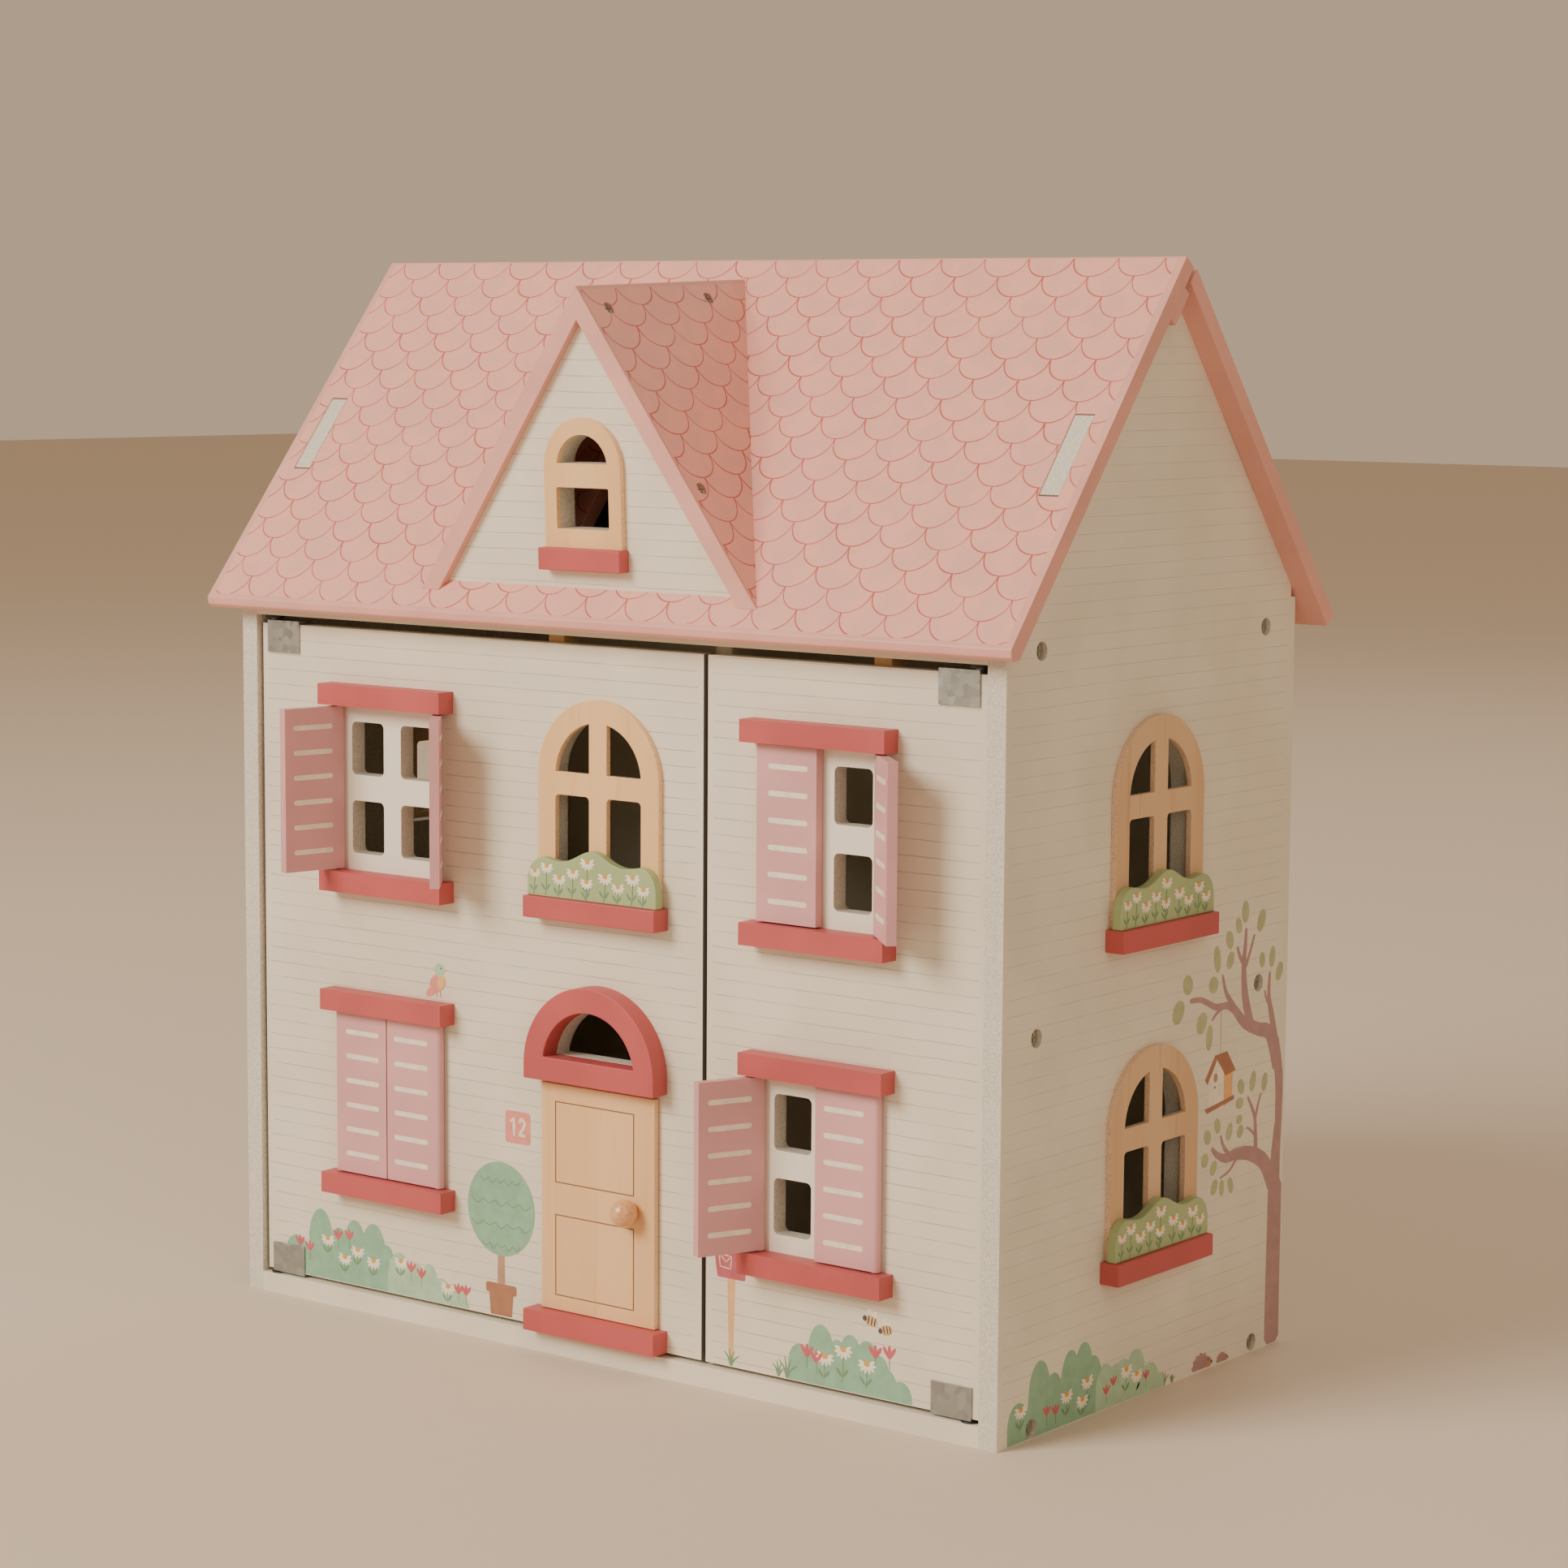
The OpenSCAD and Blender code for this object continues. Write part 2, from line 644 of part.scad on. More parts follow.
module front_roof() {
    color(pink) difference() {
        side_board([
            front_pt(0, 0), front_pt(0, roof_t), front_pt(slope_len - nose, roof_t),
            front_pt(slope_len, roof_t - nose), front_pt(slope_len, nose), front_pt(slope_len - nose, 0)
        ], -roof_x, roof_x);
        for (side = [-1, 1]) side_board([
            front_pt(tenon_s - tenon_gap, -1), front_pt(tenon_s - tenon_gap, roof_t + 1),
            front_pt(tenon_s + tenon_len + tenon_gap, roof_t + 1),
            front_pt(tenon_s + tenon_len + tenon_gap, -1)
        ], (side > 0 ? inner_x : -house_w / 2) - tenon_side_gap,
            (side > 0 ? house_w / 2 : -inner_x) + tenon_side_gap);
        side_board([
            front_pt(dormer_hatch_s[0], -1), front_pt(dormer_hatch_s[0], roof_t + 1),
            front_pt(dormer_hatch_s[1], roof_t + 1), front_pt(dormer_hatch_s[1], -1)
        ], dormer_x - dormer_hatch_w / 2, dormer_x + dormer_hatch_w / 2);
    }
}
module ridge_cleat() {
    color(pink) side_board([
        front_pt(cleat_s, roof_t), front_pt(cleat_s, roof_t + cleat_t),
        front_pt(cleat_s + cleat_len, roof_t + cleat_t), front_pt(cleat_s + cleat_len, roof_t)
    ], -roof_x, roof_x);
}

// points of the dormer's outer and inner slopes at a height z
function dormer_half(z, inset) = (dormer_ridge - z) / tan(dormer_pitch) - inset / sin(dormer_pitch);

// the dormer's upright parts tip forward about the foot of the gable panel
module leaning() {
    translate([0, dormer_panel_y, dormer_pivot_z]) rotate([dormer_lean, 0, 0])
        translate([0, -dormer_panel_y, -dormer_pivot_z]) children();
}

module dormer_board(side) {
    top_in = dormer_ridge - dormer_t / cos(dormer_pitch);
    color(pink) intersection() {
        leaning() difference() {
            front_board([
                [dormer_x, dormer_ridge], [dormer_x, top_in],
                [dormer_x + side * dormer_half(dormer_cut_z, dormer_t), dormer_cut_z],
                [dormer_x + side * dormer_half(dormer_cut_z, 0), dormer_cut_z]
            ], dormer_front_y, house_d / 4);
            dormer_screw_set(side);
        }
        above_front_roof();
    }
}
// screws square to a dormer board: near the ridge front and back, and into the gable panel
dormer_screw_spots = [[dormer_panel_y + 11, 10.5, 3.4], [dormer_panel_y + 87, 8, 1.8],
    [dormer_panel_y + dormer_panel_t / 2, 92.4, 14]];
module dormer_screw_set(side) {
    for (spot = dormer_screw_spots) {
        x = dormer_x + side * spot[1] / tan(dormer_pitch);
        translate([x, spot[0], dormer_ridge - spot[1]])
            rotate([0, side * (180 + dormer_pitch), 0]) {
                translate([0, 0, 1]) cylinder(r = 3.2, h = 1.6);
                translate([0, 0, -3]) cylinder(r = 3.2, h = 4.1);
                translate([0, 0, 2.5]) cylinder(r = 1.4, h = spot[2] + 0.4);
            }
    }
}
module dormer_screws() {
    color(steel) leaning() for (side = [-1, 1]) for (spot = dormer_screw_spots) {
        x = dormer_x + side * spot[1] / tan(dormer_pitch);
        translate([x, spot[0], dormer_ridge - spot[1]])
            rotate([0, side * (180 + dormer_pitch), 0]) {
                difference() {
                    translate([0, 0, 1]) cylinder(r = 3.2, h = 1.6);
                    translate([-2, -0.4, 0]) cube([4, 0.8, 1.8]);
                    translate([-0.4, -2, 0]) cube([0.8, 4, 1.8]);
                }
                translate([0, 0, 2.6]) cylinder(r = 1.4, h = spot[2]);
            }
    }
}
module dormer_left_roof() { dormer_board(-1); }
module dormer_right_roof() { dormer_board(1); }
module dormer_gable() {
    top_in = dormer_ridge - dormer_t / cos(dormer_pitch);
    low = dormer_cut_z - 6;
    half = dormer_half(low, dormer_t);
    color(white) intersection() {
        leaning() difference() {
            front_board([[dormer_x, top_in], [dormer_x + half, low], [dormer_x - half, low]],
                dormer_panel_y, dormer_panel_y + dormer_panel_t);
            segment(dormer_x, dormer_arch_z, dormer_hole_r, dormer_flat, dormer_panel_y - 1,
                dormer_panel_y + dormer_panel_t + 1);
            round_hole(dormer_x, dormer_pane_z + dormer_pane_h / 2, dormer_pane_w, dormer_pane_h, 0.8,
                dormer_panel_y - 1, dormer_panel_y + dormer_panel_t + 1);
            for (side = [-1, 1]) dormer_screw_set(side);
        }
        above_front_roof();
    }
}
module dormer_window() {
    y = dormer_panel_y;
    color(ply) leaning() difference() {
        arch(dormer_x, dormer_arch_z, dormer_r, dormer_arch_z - dormer_sill_top, y - ply_t, y);
        segment(dormer_x, dormer_arch_z, dormer_hole_r, dormer_flat, y - ply_t - 1, y + 1);
        round_hole(dormer_x, dormer_pane_z + dormer_pane_h / 2, dormer_pane_w, dormer_pane_h, 0.8,
            y - ply_t - 1, y + 1);
    }
}
module dormer_sill() {
    color(coral) leaning()
        bar(dormer_x, dormer_sill_top - lintel_h, dormer_panel_y, dormer_sill_w, dormer_sill_d);
}

module door_board(x0, x1) {
    translate([x0, door_y, door_z0]) cube([x1 - x0, door_t, door_z1 - door_z0]);
}
module left_door_panel() {
    color(white) difference() {
        door_board(-door_x, left_door_end);
        panes(col_left, sill_ground);
        panes(col_left, sill_upper);
        arched_opening(col_mid, sill_upper, door_y - 1, door_back_y + 1);
        round_hole(col_mid, entry_z + 1 + (entry_h - 6) / 2, entry_w - 12, entry_h - 6, 2,
            door_y - 1, door_back_y + 1);
        segment(col_mid, porch_arch_z, porch_hole_r, porch_flat, door_y - 1, door_back_y + 1);
    }
}
module right_door_panel() {
    color(white) difference() {
        door_board(right_door_end, door_x);
        panes(col_right, sill_ground);
        panes(col_right, sill_upper);
    }
}
module left_door_brackets() { color(zinc) for (top = [true, false]) door_bracket(-1, top); }
module right_door_brackets() { color(zinc) for (top = [true, false]) door_bracket(1, top); }
lintel_zs = [sill_ground + window_h, sill_upper + window_h];
sill_zs = [sill_ground - lintel_h, sill_upper - lintel_h];
module left_lintels() { color(coral) bars_with_bores(col_left, lintel_zs); }
module right_lintels() { color(coral) bars_with_bores(col_right, lintel_zs); }
module left_sills() { color(coral) bars_with_bores(col_left, sill_zs); }
module right_sills() { color(coral) bars_with_bores(col_right, sill_zs); }
module left_shutter_pins() {
    color(steel) for (z = [sill_ground, sill_upper]) shutter_pins(col_left, z);
}
module right_shutter_pins() {
    color(steel) for (z = [sill_ground, sill_upper]) shutter_pins(col_right, z);
}
module arched_window() { color(ply) arched_frame(col_mid, sill_upper, door_y); }
module arched_planter() { color(sage) planter(col_mid, sill_upper, door_y - ply_t); }
module arched_sill() { color(coral) bar(col_mid, sill_upper - lintel_h, door_y, lintel_w, lintel_d); }
module entry_pins_shape() {
    pin_pair(entry_pin_x, entry_sill, porch_z, entry_y + ply_t / 2, entry_pin_r, 5,
        entry_z - entry_sill);
}
module doorway_arch() {
    color(coral) difference() {
        arch(col_mid, porch_arch_z, porch_r, porch_arch_z - porch_z, door_y - lintel_d, door_y);
        segment(col_mid, porch_arch_z, porch_hole_r, porch_flat, door_y - lintel_d - 1, door_y + 1);
        entry_pins_shape();
    }
}
module door_step() {
    color(coral) difference() {
        bar(col_mid, entry_sill - lintel_h, door_y, lintel_w, lintel_d);
        entry_pins_shape();
    }
}
module entry_door_pins() {
    top_slack = porch_z - entry_z - entry_h;
    color(steel) {
        translate([entry_pin_x, entry_y + ply_t / 2, entry_sill - 5])
            cylinder(r = entry_pin_r, h = 5 + entry_z - entry_sill + 5);
        translate([entry_pin_x, entry_y + ply_t / 2, porch_z - top_slack - 5])
            cylinder(r = entry_pin_r, h = 5 + top_slack + 5);
    }
}
module entry_door() {
    edge = ply_t / 2;
    margin_left = 9.4;
    margin_right = 12.6;
    panel_w = entry_w - margin_left - margin_right;
    line = 0.6;
    color(ply) difference() {
        union() {
            translate([entry_pin_x, entry_y, entry_z]) cube([entry_w - edge, ply_t, entry_h]);
            translate([entry_pin_x, entry_y + edge, entry_z]) cylinder(r = edge, h = entry_h);
        }
        for (z = [entry_z + 7, entry_z + entry_h - 48.5]) difference() {
            translate([entry_left + margin_left, entry_y - 1, z]) cube([panel_w, 1.4, 40]);
            translate([entry_left + margin_left + line, entry_y - 2, z + line])
                cube([panel_w - 2 * line, 4, 40 - 2 * line]);
        }
        translate([entry_pin_x, entry_y + edge, entry_z - 1])
            cylinder(r = entry_pin_r + pin_gap, h = 5.5 + 1);
        translate([entry_pin_x, entry_y + edge, entry_z + entry_h - 5.5])
            cylinder(r = entry_pin_r + pin_gap, h = 5.5 + 1);
    }
}
module door_knob() {
    x = entry_left + entry_w - 14.2;
    z = entry_z + 55.3;
    color(ply) translate([x, entry_y - 0.84 * knob_r, z]) rotate([90, 0, 0]) rotate_extrude()
        intersection() {
            circle(r = knob_r);
            translate([0, -0.84 * knob_r]) square([knob_r, 2 * knob_r]);
        }
}
module upper_left_shutter_l() { color(mauve) shutter(col_left, sill_upper, -1, ul_left_open); }
module upper_left_shutter_r() { color(mauve) shutter(col_left, sill_upper, 1, ul_right_open); }
module lower_left_shutter_l() { color(mauve) shutter(col_left, sill_ground, -1, 0); }
module lower_left_shutter_r() { color(mauve) shutter(col_left, sill_ground, 1, 0); }
module upper_right_shutter_l() { color(mauve) shutter(col_right, sill_upper, -1, 0); }
module upper_right_shutter_r() { color(mauve) shutter(col_right, sill_upper, 1, ur_right_open); }
module lower_right_shutter_l() { color(mauve) shutter(col_right, sill_ground, -1, lr_left_open); }
module lower_right_shutter_r() { color(mauve) shutter(col_right, sill_ground, 1, 0); }

left_wall();
right_wall();
base_board();
first_floor();
attic_floor();
back_panel();
ground_partition();
upper_partition();
rear_roof();
wall_screws();
back_screws();
right_upper_window();
right_lower_window();
right_side_sills();
right_side_planters();
left_upper_window();
left_lower_window();
left_side_sills();
left_side_planters();
pivot_sockets();
door_stops();
rear_hinge_leaves();
roof_hinge_pins();
front_roof();
ridge_cleat();
dormer_gable();
dormer_left_roof();
dormer_right_roof();
dormer_window();
dormer_sill();
dormer_screws();
front_hinge_leaves();
left_door_panel();
left_door_brackets();
left_lintels();
left_sills();
arched_window();
arched_planter();
arched_sill();
doorway_arch();
door_step();
left_shutter_pins();
entry_door_pins();
right_door_panel();
right_door_brackets();
right_lintels();
right_sills();
right_shutter_pins();
entry_door();
door_knob();
upper_left_shutter_l();
upper_left_shutter_r();
lower_left_shutter_l();
lower_left_shutter_r();
upper_right_shutter_l();
upper_right_shutter_r();
lower_right_shutter_l();
lower_right_shutter_r();
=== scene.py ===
import json
import math
import bmesh
import bpy
from mathutils import Matrix, Vector


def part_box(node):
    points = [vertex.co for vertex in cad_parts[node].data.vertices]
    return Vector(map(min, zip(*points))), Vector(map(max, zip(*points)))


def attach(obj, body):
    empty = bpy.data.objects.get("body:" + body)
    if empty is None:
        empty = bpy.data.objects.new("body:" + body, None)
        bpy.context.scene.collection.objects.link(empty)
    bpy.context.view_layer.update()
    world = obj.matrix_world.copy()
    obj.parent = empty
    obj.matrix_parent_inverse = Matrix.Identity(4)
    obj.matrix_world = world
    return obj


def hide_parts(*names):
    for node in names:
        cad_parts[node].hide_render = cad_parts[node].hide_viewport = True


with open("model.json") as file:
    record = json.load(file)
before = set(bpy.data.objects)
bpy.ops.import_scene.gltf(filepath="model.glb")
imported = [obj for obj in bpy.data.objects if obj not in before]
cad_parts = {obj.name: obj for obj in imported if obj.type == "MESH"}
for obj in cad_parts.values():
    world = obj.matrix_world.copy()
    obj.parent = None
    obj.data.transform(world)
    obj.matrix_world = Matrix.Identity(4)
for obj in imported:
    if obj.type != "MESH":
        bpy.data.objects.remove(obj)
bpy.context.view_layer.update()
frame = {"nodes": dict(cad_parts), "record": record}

MM = 0.001
BODY_OF = {node: body for body, nodes in frame["record"]["behaviour"]["bodies"].items() for node in nodes}


# ---------------------------------------------------------------- camera and studio

CAMERA_PLACE = (1.1656, -1.4800, 0.4924)
CAMERA_TURN, CAMERA_LIFT, CAMERA_ROLL = 37.78, 6.74, 0.36
CAMERA_LENS = 87.46


def set_camera():
    """The camera stands to the front right of the house, a little above its middle."""
    turn, lift, roll = (math.radians(angle) for angle in (CAMERA_TURN, CAMERA_LIFT, CAMERA_ROLL))
    back = Vector((math.sin(turn) * math.cos(lift), -math.cos(turn) * math.cos(lift), math.sin(lift)))
    right = Vector((math.cos(turn), math.sin(turn), 0))
    up = back.cross(right)
    rolled_right = math.cos(roll) * right + math.sin(roll) * up
    rolled_up = math.cos(roll) * up - math.sin(roll) * right
    data = bpy.data.cameras.new("studio_camera")
    data.lens = CAMERA_LENS
    data.sensor_width = 36
    data.clip_end = 50
    camera = bpy.data.objects.new("studio_camera", data)
    bpy.context.scene.collection.objects.link(camera)
    grid = Matrix((rolled_right, rolled_up, back)).transposed().to_4x4()
    camera.matrix_world = Matrix.Translation(CAMERA_PLACE) @ grid
    bpy.context.scene.camera = camera


def soft_light(name, place, aim, size, watts, colour):
    """A round softbox that looks from its place to the aim."""
    data = bpy.data.lights.new(name, "AREA")
    data.shape = "DISK"
    data.size = size
    data.energy = watts
    data.color = colour
    lamp = bpy.data.objects.new(name, data)
    bpy.context.scene.collection.objects.link(lamp)
    lamp.location = place
    lamp.rotation_euler = (Vector(aim) - Vector(place)).to_track_quat("-Z", "Y").to_euler()


set_camera()
soft_light("key_softbox", (-1.3, -3.1, 2.3), (0, 0, 0.25), 2.0, 158, (1.0, 0.94, 0.84))
soft_light("fill_softbox", (2.8, -1.4, 1.7), (0, 0, 0.25), 2.6, 20, (1.0, 0.92, 0.83))
soft_light("rear_softbox", (-0.6, 2.6, 2.6), (0, 0, 0.3), 2.0, 20, (1.0, 0.94, 0.86))

world = bpy.data.worlds.new("studio")
bpy.context.scene.world = world
world.use_nodes = True
ambient = world.node_tree.nodes["Background"]
ambient.inputs["Color"].default_value = (0.66, 0.48, 0.32, 1)
ambient.inputs["Strength"].default_value = 0.82


# ---------------------------------------------------------------- finishes

def linear(red, green, blue):
    """A paint colour given as 0 to 255 values."""
    def one(c):
        c /= 255
        return c / 12.92 if c <= 0.04045 else ((c + 0.055) / 1.055) ** 2.4
    return (one(red), one(green), one(blue), 1)


class Finish:
    """A material that is put together node by node."""

    def __init__(self, name):
        self.material = bpy.data.materials.new(name)
        self.material.use_nodes = True
        self.tree = self.material.node_tree
        self.shader = self.tree.nodes["Principled BSDF"]
        self.coords = self.tree.nodes.new("ShaderNodeTexCoord")
        self.place = self.coords.outputs["Object"]

    def put(self, socket, value):
        if isinstance(value, bpy.types.NodeSocket):
            self.tree.links.new(value, socket)
        elif value is not None:
            socket.default_value = value

    def math(self, operation, a, b=None):
        node = self.tree.nodes.new("ShaderNodeMath")
        node.operation = operation
        self.put(node.inputs[0], a)
        self.put(node.inputs[1], b)
        return node.outputs[0]

    def add(self, a, b):
        return self.math("ADD", a, b)

    def less(self, a, b):
        return self.math("SUBTRACT", a, b)

    def times(self, a, b):
        return self.math("MULTIPLY", a, b)

    def smaller(self, a, b):
        return self.math("MINIMUM", a, b)

    def rest(self, share):
        return self.less(1, share)

    def dot(self, vector, direction):
        node = self.tree.nodes.new("ShaderNodeVectorMath")
        node.operation = "DOT_PRODUCT"
        self.put(node.inputs[0], vector)
        self.put(node.inputs[1], direction)
        return node.outputs["Value"]

    def along(self, direction):
        return self.dot(self.place, direction)

    def stretched(self, scale):
        node = self.tree.nodes.new("ShaderNodeMapping")
        self.put(node.inputs["Vector"], self.place)
        node.inputs["Scale"].default_value = scale
        return node.outputs["Vector"]

    def noise(self, scale, detail=2, vector=None, roughness=0.5):
        node = self.tree.nodes.new("ShaderNodeTexNoise")
        self.put(node.inputs["Vector"], vector or self.place)
        node.inputs["Scale"].default_value = scale
        node.inputs["Detail"].default_value = detail
        node.inputs["Roughness"].default_value = roughness
        return node.outputs["Fac"]

    def ramp(self, value, low, high, start=0.0, end=1.0):
        node = self.tree.nodes.new("ShaderNodeMapRange")
        node.interpolation_type = "SMOOTHSTEP"
        for name, given in (("Value", value), ("From Min", low), ("From Max", high),
                            ("To Min", start), ("To Max", end)):
            self.put(node.inputs[name], given)
        return node.outputs["Result"]

    def mix(self, share, a, b):
        node = self.tree.nodes.new("ShaderNodeMix")
        node.data_type = "RGBA"
        self.put(node.inputs["Factor"], share)
        colours = [s for s in node.inputs if s.type == "RGBA"]
        self.put(colours[0], a)
        self.put(colours[1], b)
        return next(s for s in node.outputs if s.type == "RGBA")

    def facing(self, direction, least=0.85):
        """1 where the surface faces along the direction, else 0."""
        return self.ramp(self.dot(self.coords.outputs["Normal"], direction), least, least + 0.1)

    def bump(self, height, distance, strength=1.0):
        node = self.tree.nodes.new("ShaderNodeBump")
        self.put(node.inputs["Height"], height)
        node.inputs["Distance"].default_value = distance
        node.inputs["Strength"].default_value = strength
        self.tree.links.new(node.outputs["Normal"], self.shader.inputs["Normal"])

    def done(self, colour, roughness, metallic=0.0):
        self.put(self.shader.inputs["Base Color"], colour)
        self.put(self.shader.inputs["Roughness"], roughness)
        self.shader.inputs["Metallic"].default_value = metallic
        return self.material


def sprayed(finish, colour, strength=0.05):
    """Sprayed paint on wood: cloudy tone, a faint raised grain and an orange-peel skin."""
    clouds = finish.noise(22, 3)
    grain = finish.noise(1, 3, finish.stretched((90, 90, 9)))
    darker = tuple(c * (1 - 2 * strength) for c in colour[:3]) + (1,)
    lighter = tuple(min(1, c * (1 + strength)) for c in colour[:3]) + (1,)
    tone = finish.mix(finish.ramp(clouds, 0.3, 0.7), darker, lighter)
    peel = finish.noise(900, 2)
    height = finish.add(finish.times(grain, 0.6), finish.times(peel, 0.4))
    finish.bump(height, 0.12 * MM, 0.55)
    return tone, finish.ramp(clouds, 0.2, 0.8, 0.42, 0.56)


def painted(name, colour, strength=0.05):
    """A plain sprayed board."""
    finish = Finish(name)
    tone, rough = sprayed(finish, colour, strength)
    return finish.done(tone, rough)


WHITE = linear(228, 220, 200)
FIELD = linear(236, 230, 214)
LINE = linear(186, 180, 162)
PINK = linear(238, 172, 156)
PINK_EDGE = linear(226, 164, 152)
SCALE_GREY = linear(230, 168, 156)
SCALE_LINE = linear(190, 88, 80)
CORAL = linear(190, 84, 85)
MAUVE = linear(216, 160, 162)
# dark grey painted shade for the door side edges, standing in for the shadow in the narrow gaps beside the
# doors
DOOR_GAP_SHADE = linear(120, 114, 104)
JAMB = linear(214, 210, 198)
JAMB_DARK = linear(176, 172, 160)
CREAM = linear(236, 226, 206)

SIDING_PITCH = 7.5 * MM


def within(finish, value, low, high):
    """1 where the value lies between low and high, else 0."""
    off = finish.math("ABSOLUTE", finish.less(value, (low + high) / 2))
    return finish.math("LESS_THAN", off, (high - low) / 2)


def siding(name, across, outward, left, right, fields=(), seed=0.0, strength=0.9):
    """White paint with printed clapboard lines on the face that looks outward.

    across is the direction that u runs, left and right are where the lines end, and fields
    are plain rectangles (u0, u1, z0, z1)."""
    finish = Finish(name)
    tone, rough = sprayed(finish, WHITE, 0.03)
    u = finish.along(across)
    front = finish.facing(outward)
    speckle = finish.mix(finish.ramp(finish.noise(1100, 3), 0.4, 0.62), JAMB, JAMB_DARK)
    tone = finish.mix(finish.times(finish.rest(front), 0.6), tone, speckle)
    z = finish.along((0, 0, 1))
    waver = finish.times(finish.less(finish.noise(28, 2), 0.5), 1.1 * MM)
    height = finish.add(z, waver)
    row = finish.math("ROUND", finish.math("DIVIDE", height, SIDING_PITCH))
    away = finish.math("PINGPONG", height, SIDING_PITCH / 2)
    pressure = finish.noise(70, 2)
    half_line = finish.ramp(pressure, 0.25, 0.75, 0.09 * MM, 0.2 * MM)
    ink = finish.ramp(away, half_line, finish.add(half_line, 0.16 * MM), 1.0, 0.0)
    chance = finish.tree.nodes.new("ShaderNodeTexWhiteNoise")
    chance.noise_dimensions = "1D"
    finish.put(chance.inputs["W"], finish.add(row, seed))
    ragged = finish.times(chance.outputs["Value"], 3 * MM)
    inside = finish.smaller(finish.less(u, left), finish.less(right, u))
    if fields:
        # the doors' side edges get a dark grey: painted shade of the narrow gaps between the doors and the
        # walls
        edge = finish.math("LESS_THAN", inside, -1.4 * MM)
        painted_gap_shade = finish.times(edge, finish.rest(front))
        tone = finish.mix(painted_gap_shade, tone, DOOR_GAP_SHADE)
    ink = finish.times(ink, finish.ramp(inside, ragged, finish.add(ragged, 0.8 * MM)))
    ink = finish.times(ink, finish.ramp(pressure, 0.2, 0.6, 0.4 * strength, strength))
    plain = None
    for u0, u1, z0, z1 in fields:
        both = finish.times(within(finish, u, u0, u1), within(finish, z, z0, z1))
        plain = both if plain is None else finish.math("MAXIMUM", plain, both)
    if plain is not None:
        ink = finish.times(ink, finish.rest(plain))
        tone = finish.mix(finish.times(plain, front), tone, FIELD)
    ink = finish.times(ink, front)
    return finish.done(finish.mix(ink, tone, LINE), rough)


SCALE_W = 24.8 * MM
SCALE_H = 12.0 * MM


def scalloped(name, across, down, outward, start, left, right, top, bottom):
    """Pink paint with printed fish-scale tiles on the face that looks outward.

    down is the downhill direction and start its value at the top edge."""
    finish = Finish(name)
    tone, rough = sprayed(finish, PINK_EDGE, 0.04)
    drift = finish.times(finish.less(finish.noise(45, 2), 0.5), 2.2 * MM)
    u = finish.along(across)
    v = finish.less(finish.along(down), start)
    u_hand = finish.add(u, drift)
    v_hand = finish.add(v, finish.times(drift, 0.6))
    row = finish.math("FLOOR", finish.math("DIVIDE", v_hand, SCALE_H))
    shift = finish.times(finish.math("MODULO", finish.add(row, 64), 2), SCALE_W / 2)
    from_centre = finish.math("PINGPONG", finish.add(u_hand, shift), SCALE_W / 2)
    below = finish.less(v_hand, finish.times(row, SCALE_H))
    a = finish.math("POWER", finish.math("DIVIDE", from_centre, SCALE_W / 2), 2)
    b = finish.math("POWER", finish.math("DIVIDE", below, SCALE_H), 2)
    radius = finish.math("SQRT", finish.add(a, b))
    away = finish.math("ABSOLUTE", finish.less(radius, 0.985))
    away = finish.times(away, 12.2 * MM)
    half_line = finish.ramp(finish.noise(60, 2), 0.25, 0.75, 0.12 * MM, 0.3 * MM)
    ink = finish.ramp(away, half_line, finish.add(half_line, 0.18 * MM), 1.0, 0.0)
    in_u = finish.smaller(finish.less(u, left), finish.less(right, u))
    in_v = finish.smaller(finish.less(v, top), finish.less(bottom, v))
    printed = finish.ramp(finish.smaller(in_u, in_v), 0.0, 0.4 * MM)
    printed = finish.times(printed, finish.facing(outward))
    blush = finish.ramp(finish.noise(75, 2), 0.35, 0.65)
    tile = finish.mix(blush, SCALE_GREY, PINK)
    tone = finish.mix(printed, tone, tile)
    return finish.done(finish.mix(finish.times(ink, printed), tone, SCALE_LINE), rough)


def plywood(name, tint, grain=(260, 260, 9), edge_axis=(0, -1, 0), groove=None, shine=0.0):
    """Clear lacquered light plywood: fine grain with pores, and paler, fuzzier cut edges.

    edge_axis is the way the flat face looks, and groove a box inside which it is burnt dark."""
    def shade(red, green, blue):
        return linear(tint[0] + red, tint[1] + green, tint[2] + blue)

    finish = Finish(name)
    fibres = finish.noise(1, 4, finish.stretched(grain), 0.6)
    bands = finish.noise(1, 2, finish.stretched(tuple(g / 6 for g in grain)))
    face = finish.mix(finish.ramp(bands, 0.35, 0.7, 0.0, 0.35), shade(0, 0, 0), shade(-22, -30, -38))
    face = finish.mix(finish.ramp(fibres, 0.55, 0.75, 0.0, 0.4), face, shade(-40, -52, -60))
    square = finish.math("ABSOLUTE", finish.dot(finish.coords.outputs["Normal"], edge_axis))
    flat = finish.ramp(square, 0.6, 0.9)
    fuzz = finish.noise(1400, 2)
    cut = finish.mix(finish.ramp(fuzz, 0.45, 0.7), shade(8, 12, 22), shade(-20, -20, -14))
    colour = finish.mix(flat, cut, face)
    if groove:
        low, high = groove
        burnt = None
        for axis, a, b in zip(((1, 0, 0), (0, 1, 0), (0, 0, 1)), low, high):
            inside = within(finish, finish.along(axis), a, b)
            burnt = inside if burnt is None else finish.times(burnt, inside)
        colour = finish.mix(finish.times(burnt, 0.85), colour, linear(122, 84, 52))
    height = finish.add(finish.times(fibres, 0.8), finish.times(fuzz, 0.2))
    finish.bump(height, 0.15 * MM, 0.6)
    if shine:
        finish.shader.inputs["Coat Weight"].default_value = shine
        finish.shader.inputs["Coat Roughness"].default_value = 0.12
    rough = finish.ramp(bands, 0.3, 0.7, 0.46 - 0.14 * shine, 0.6 - 0.2 * shine)
    return finish.done(colour, rough)


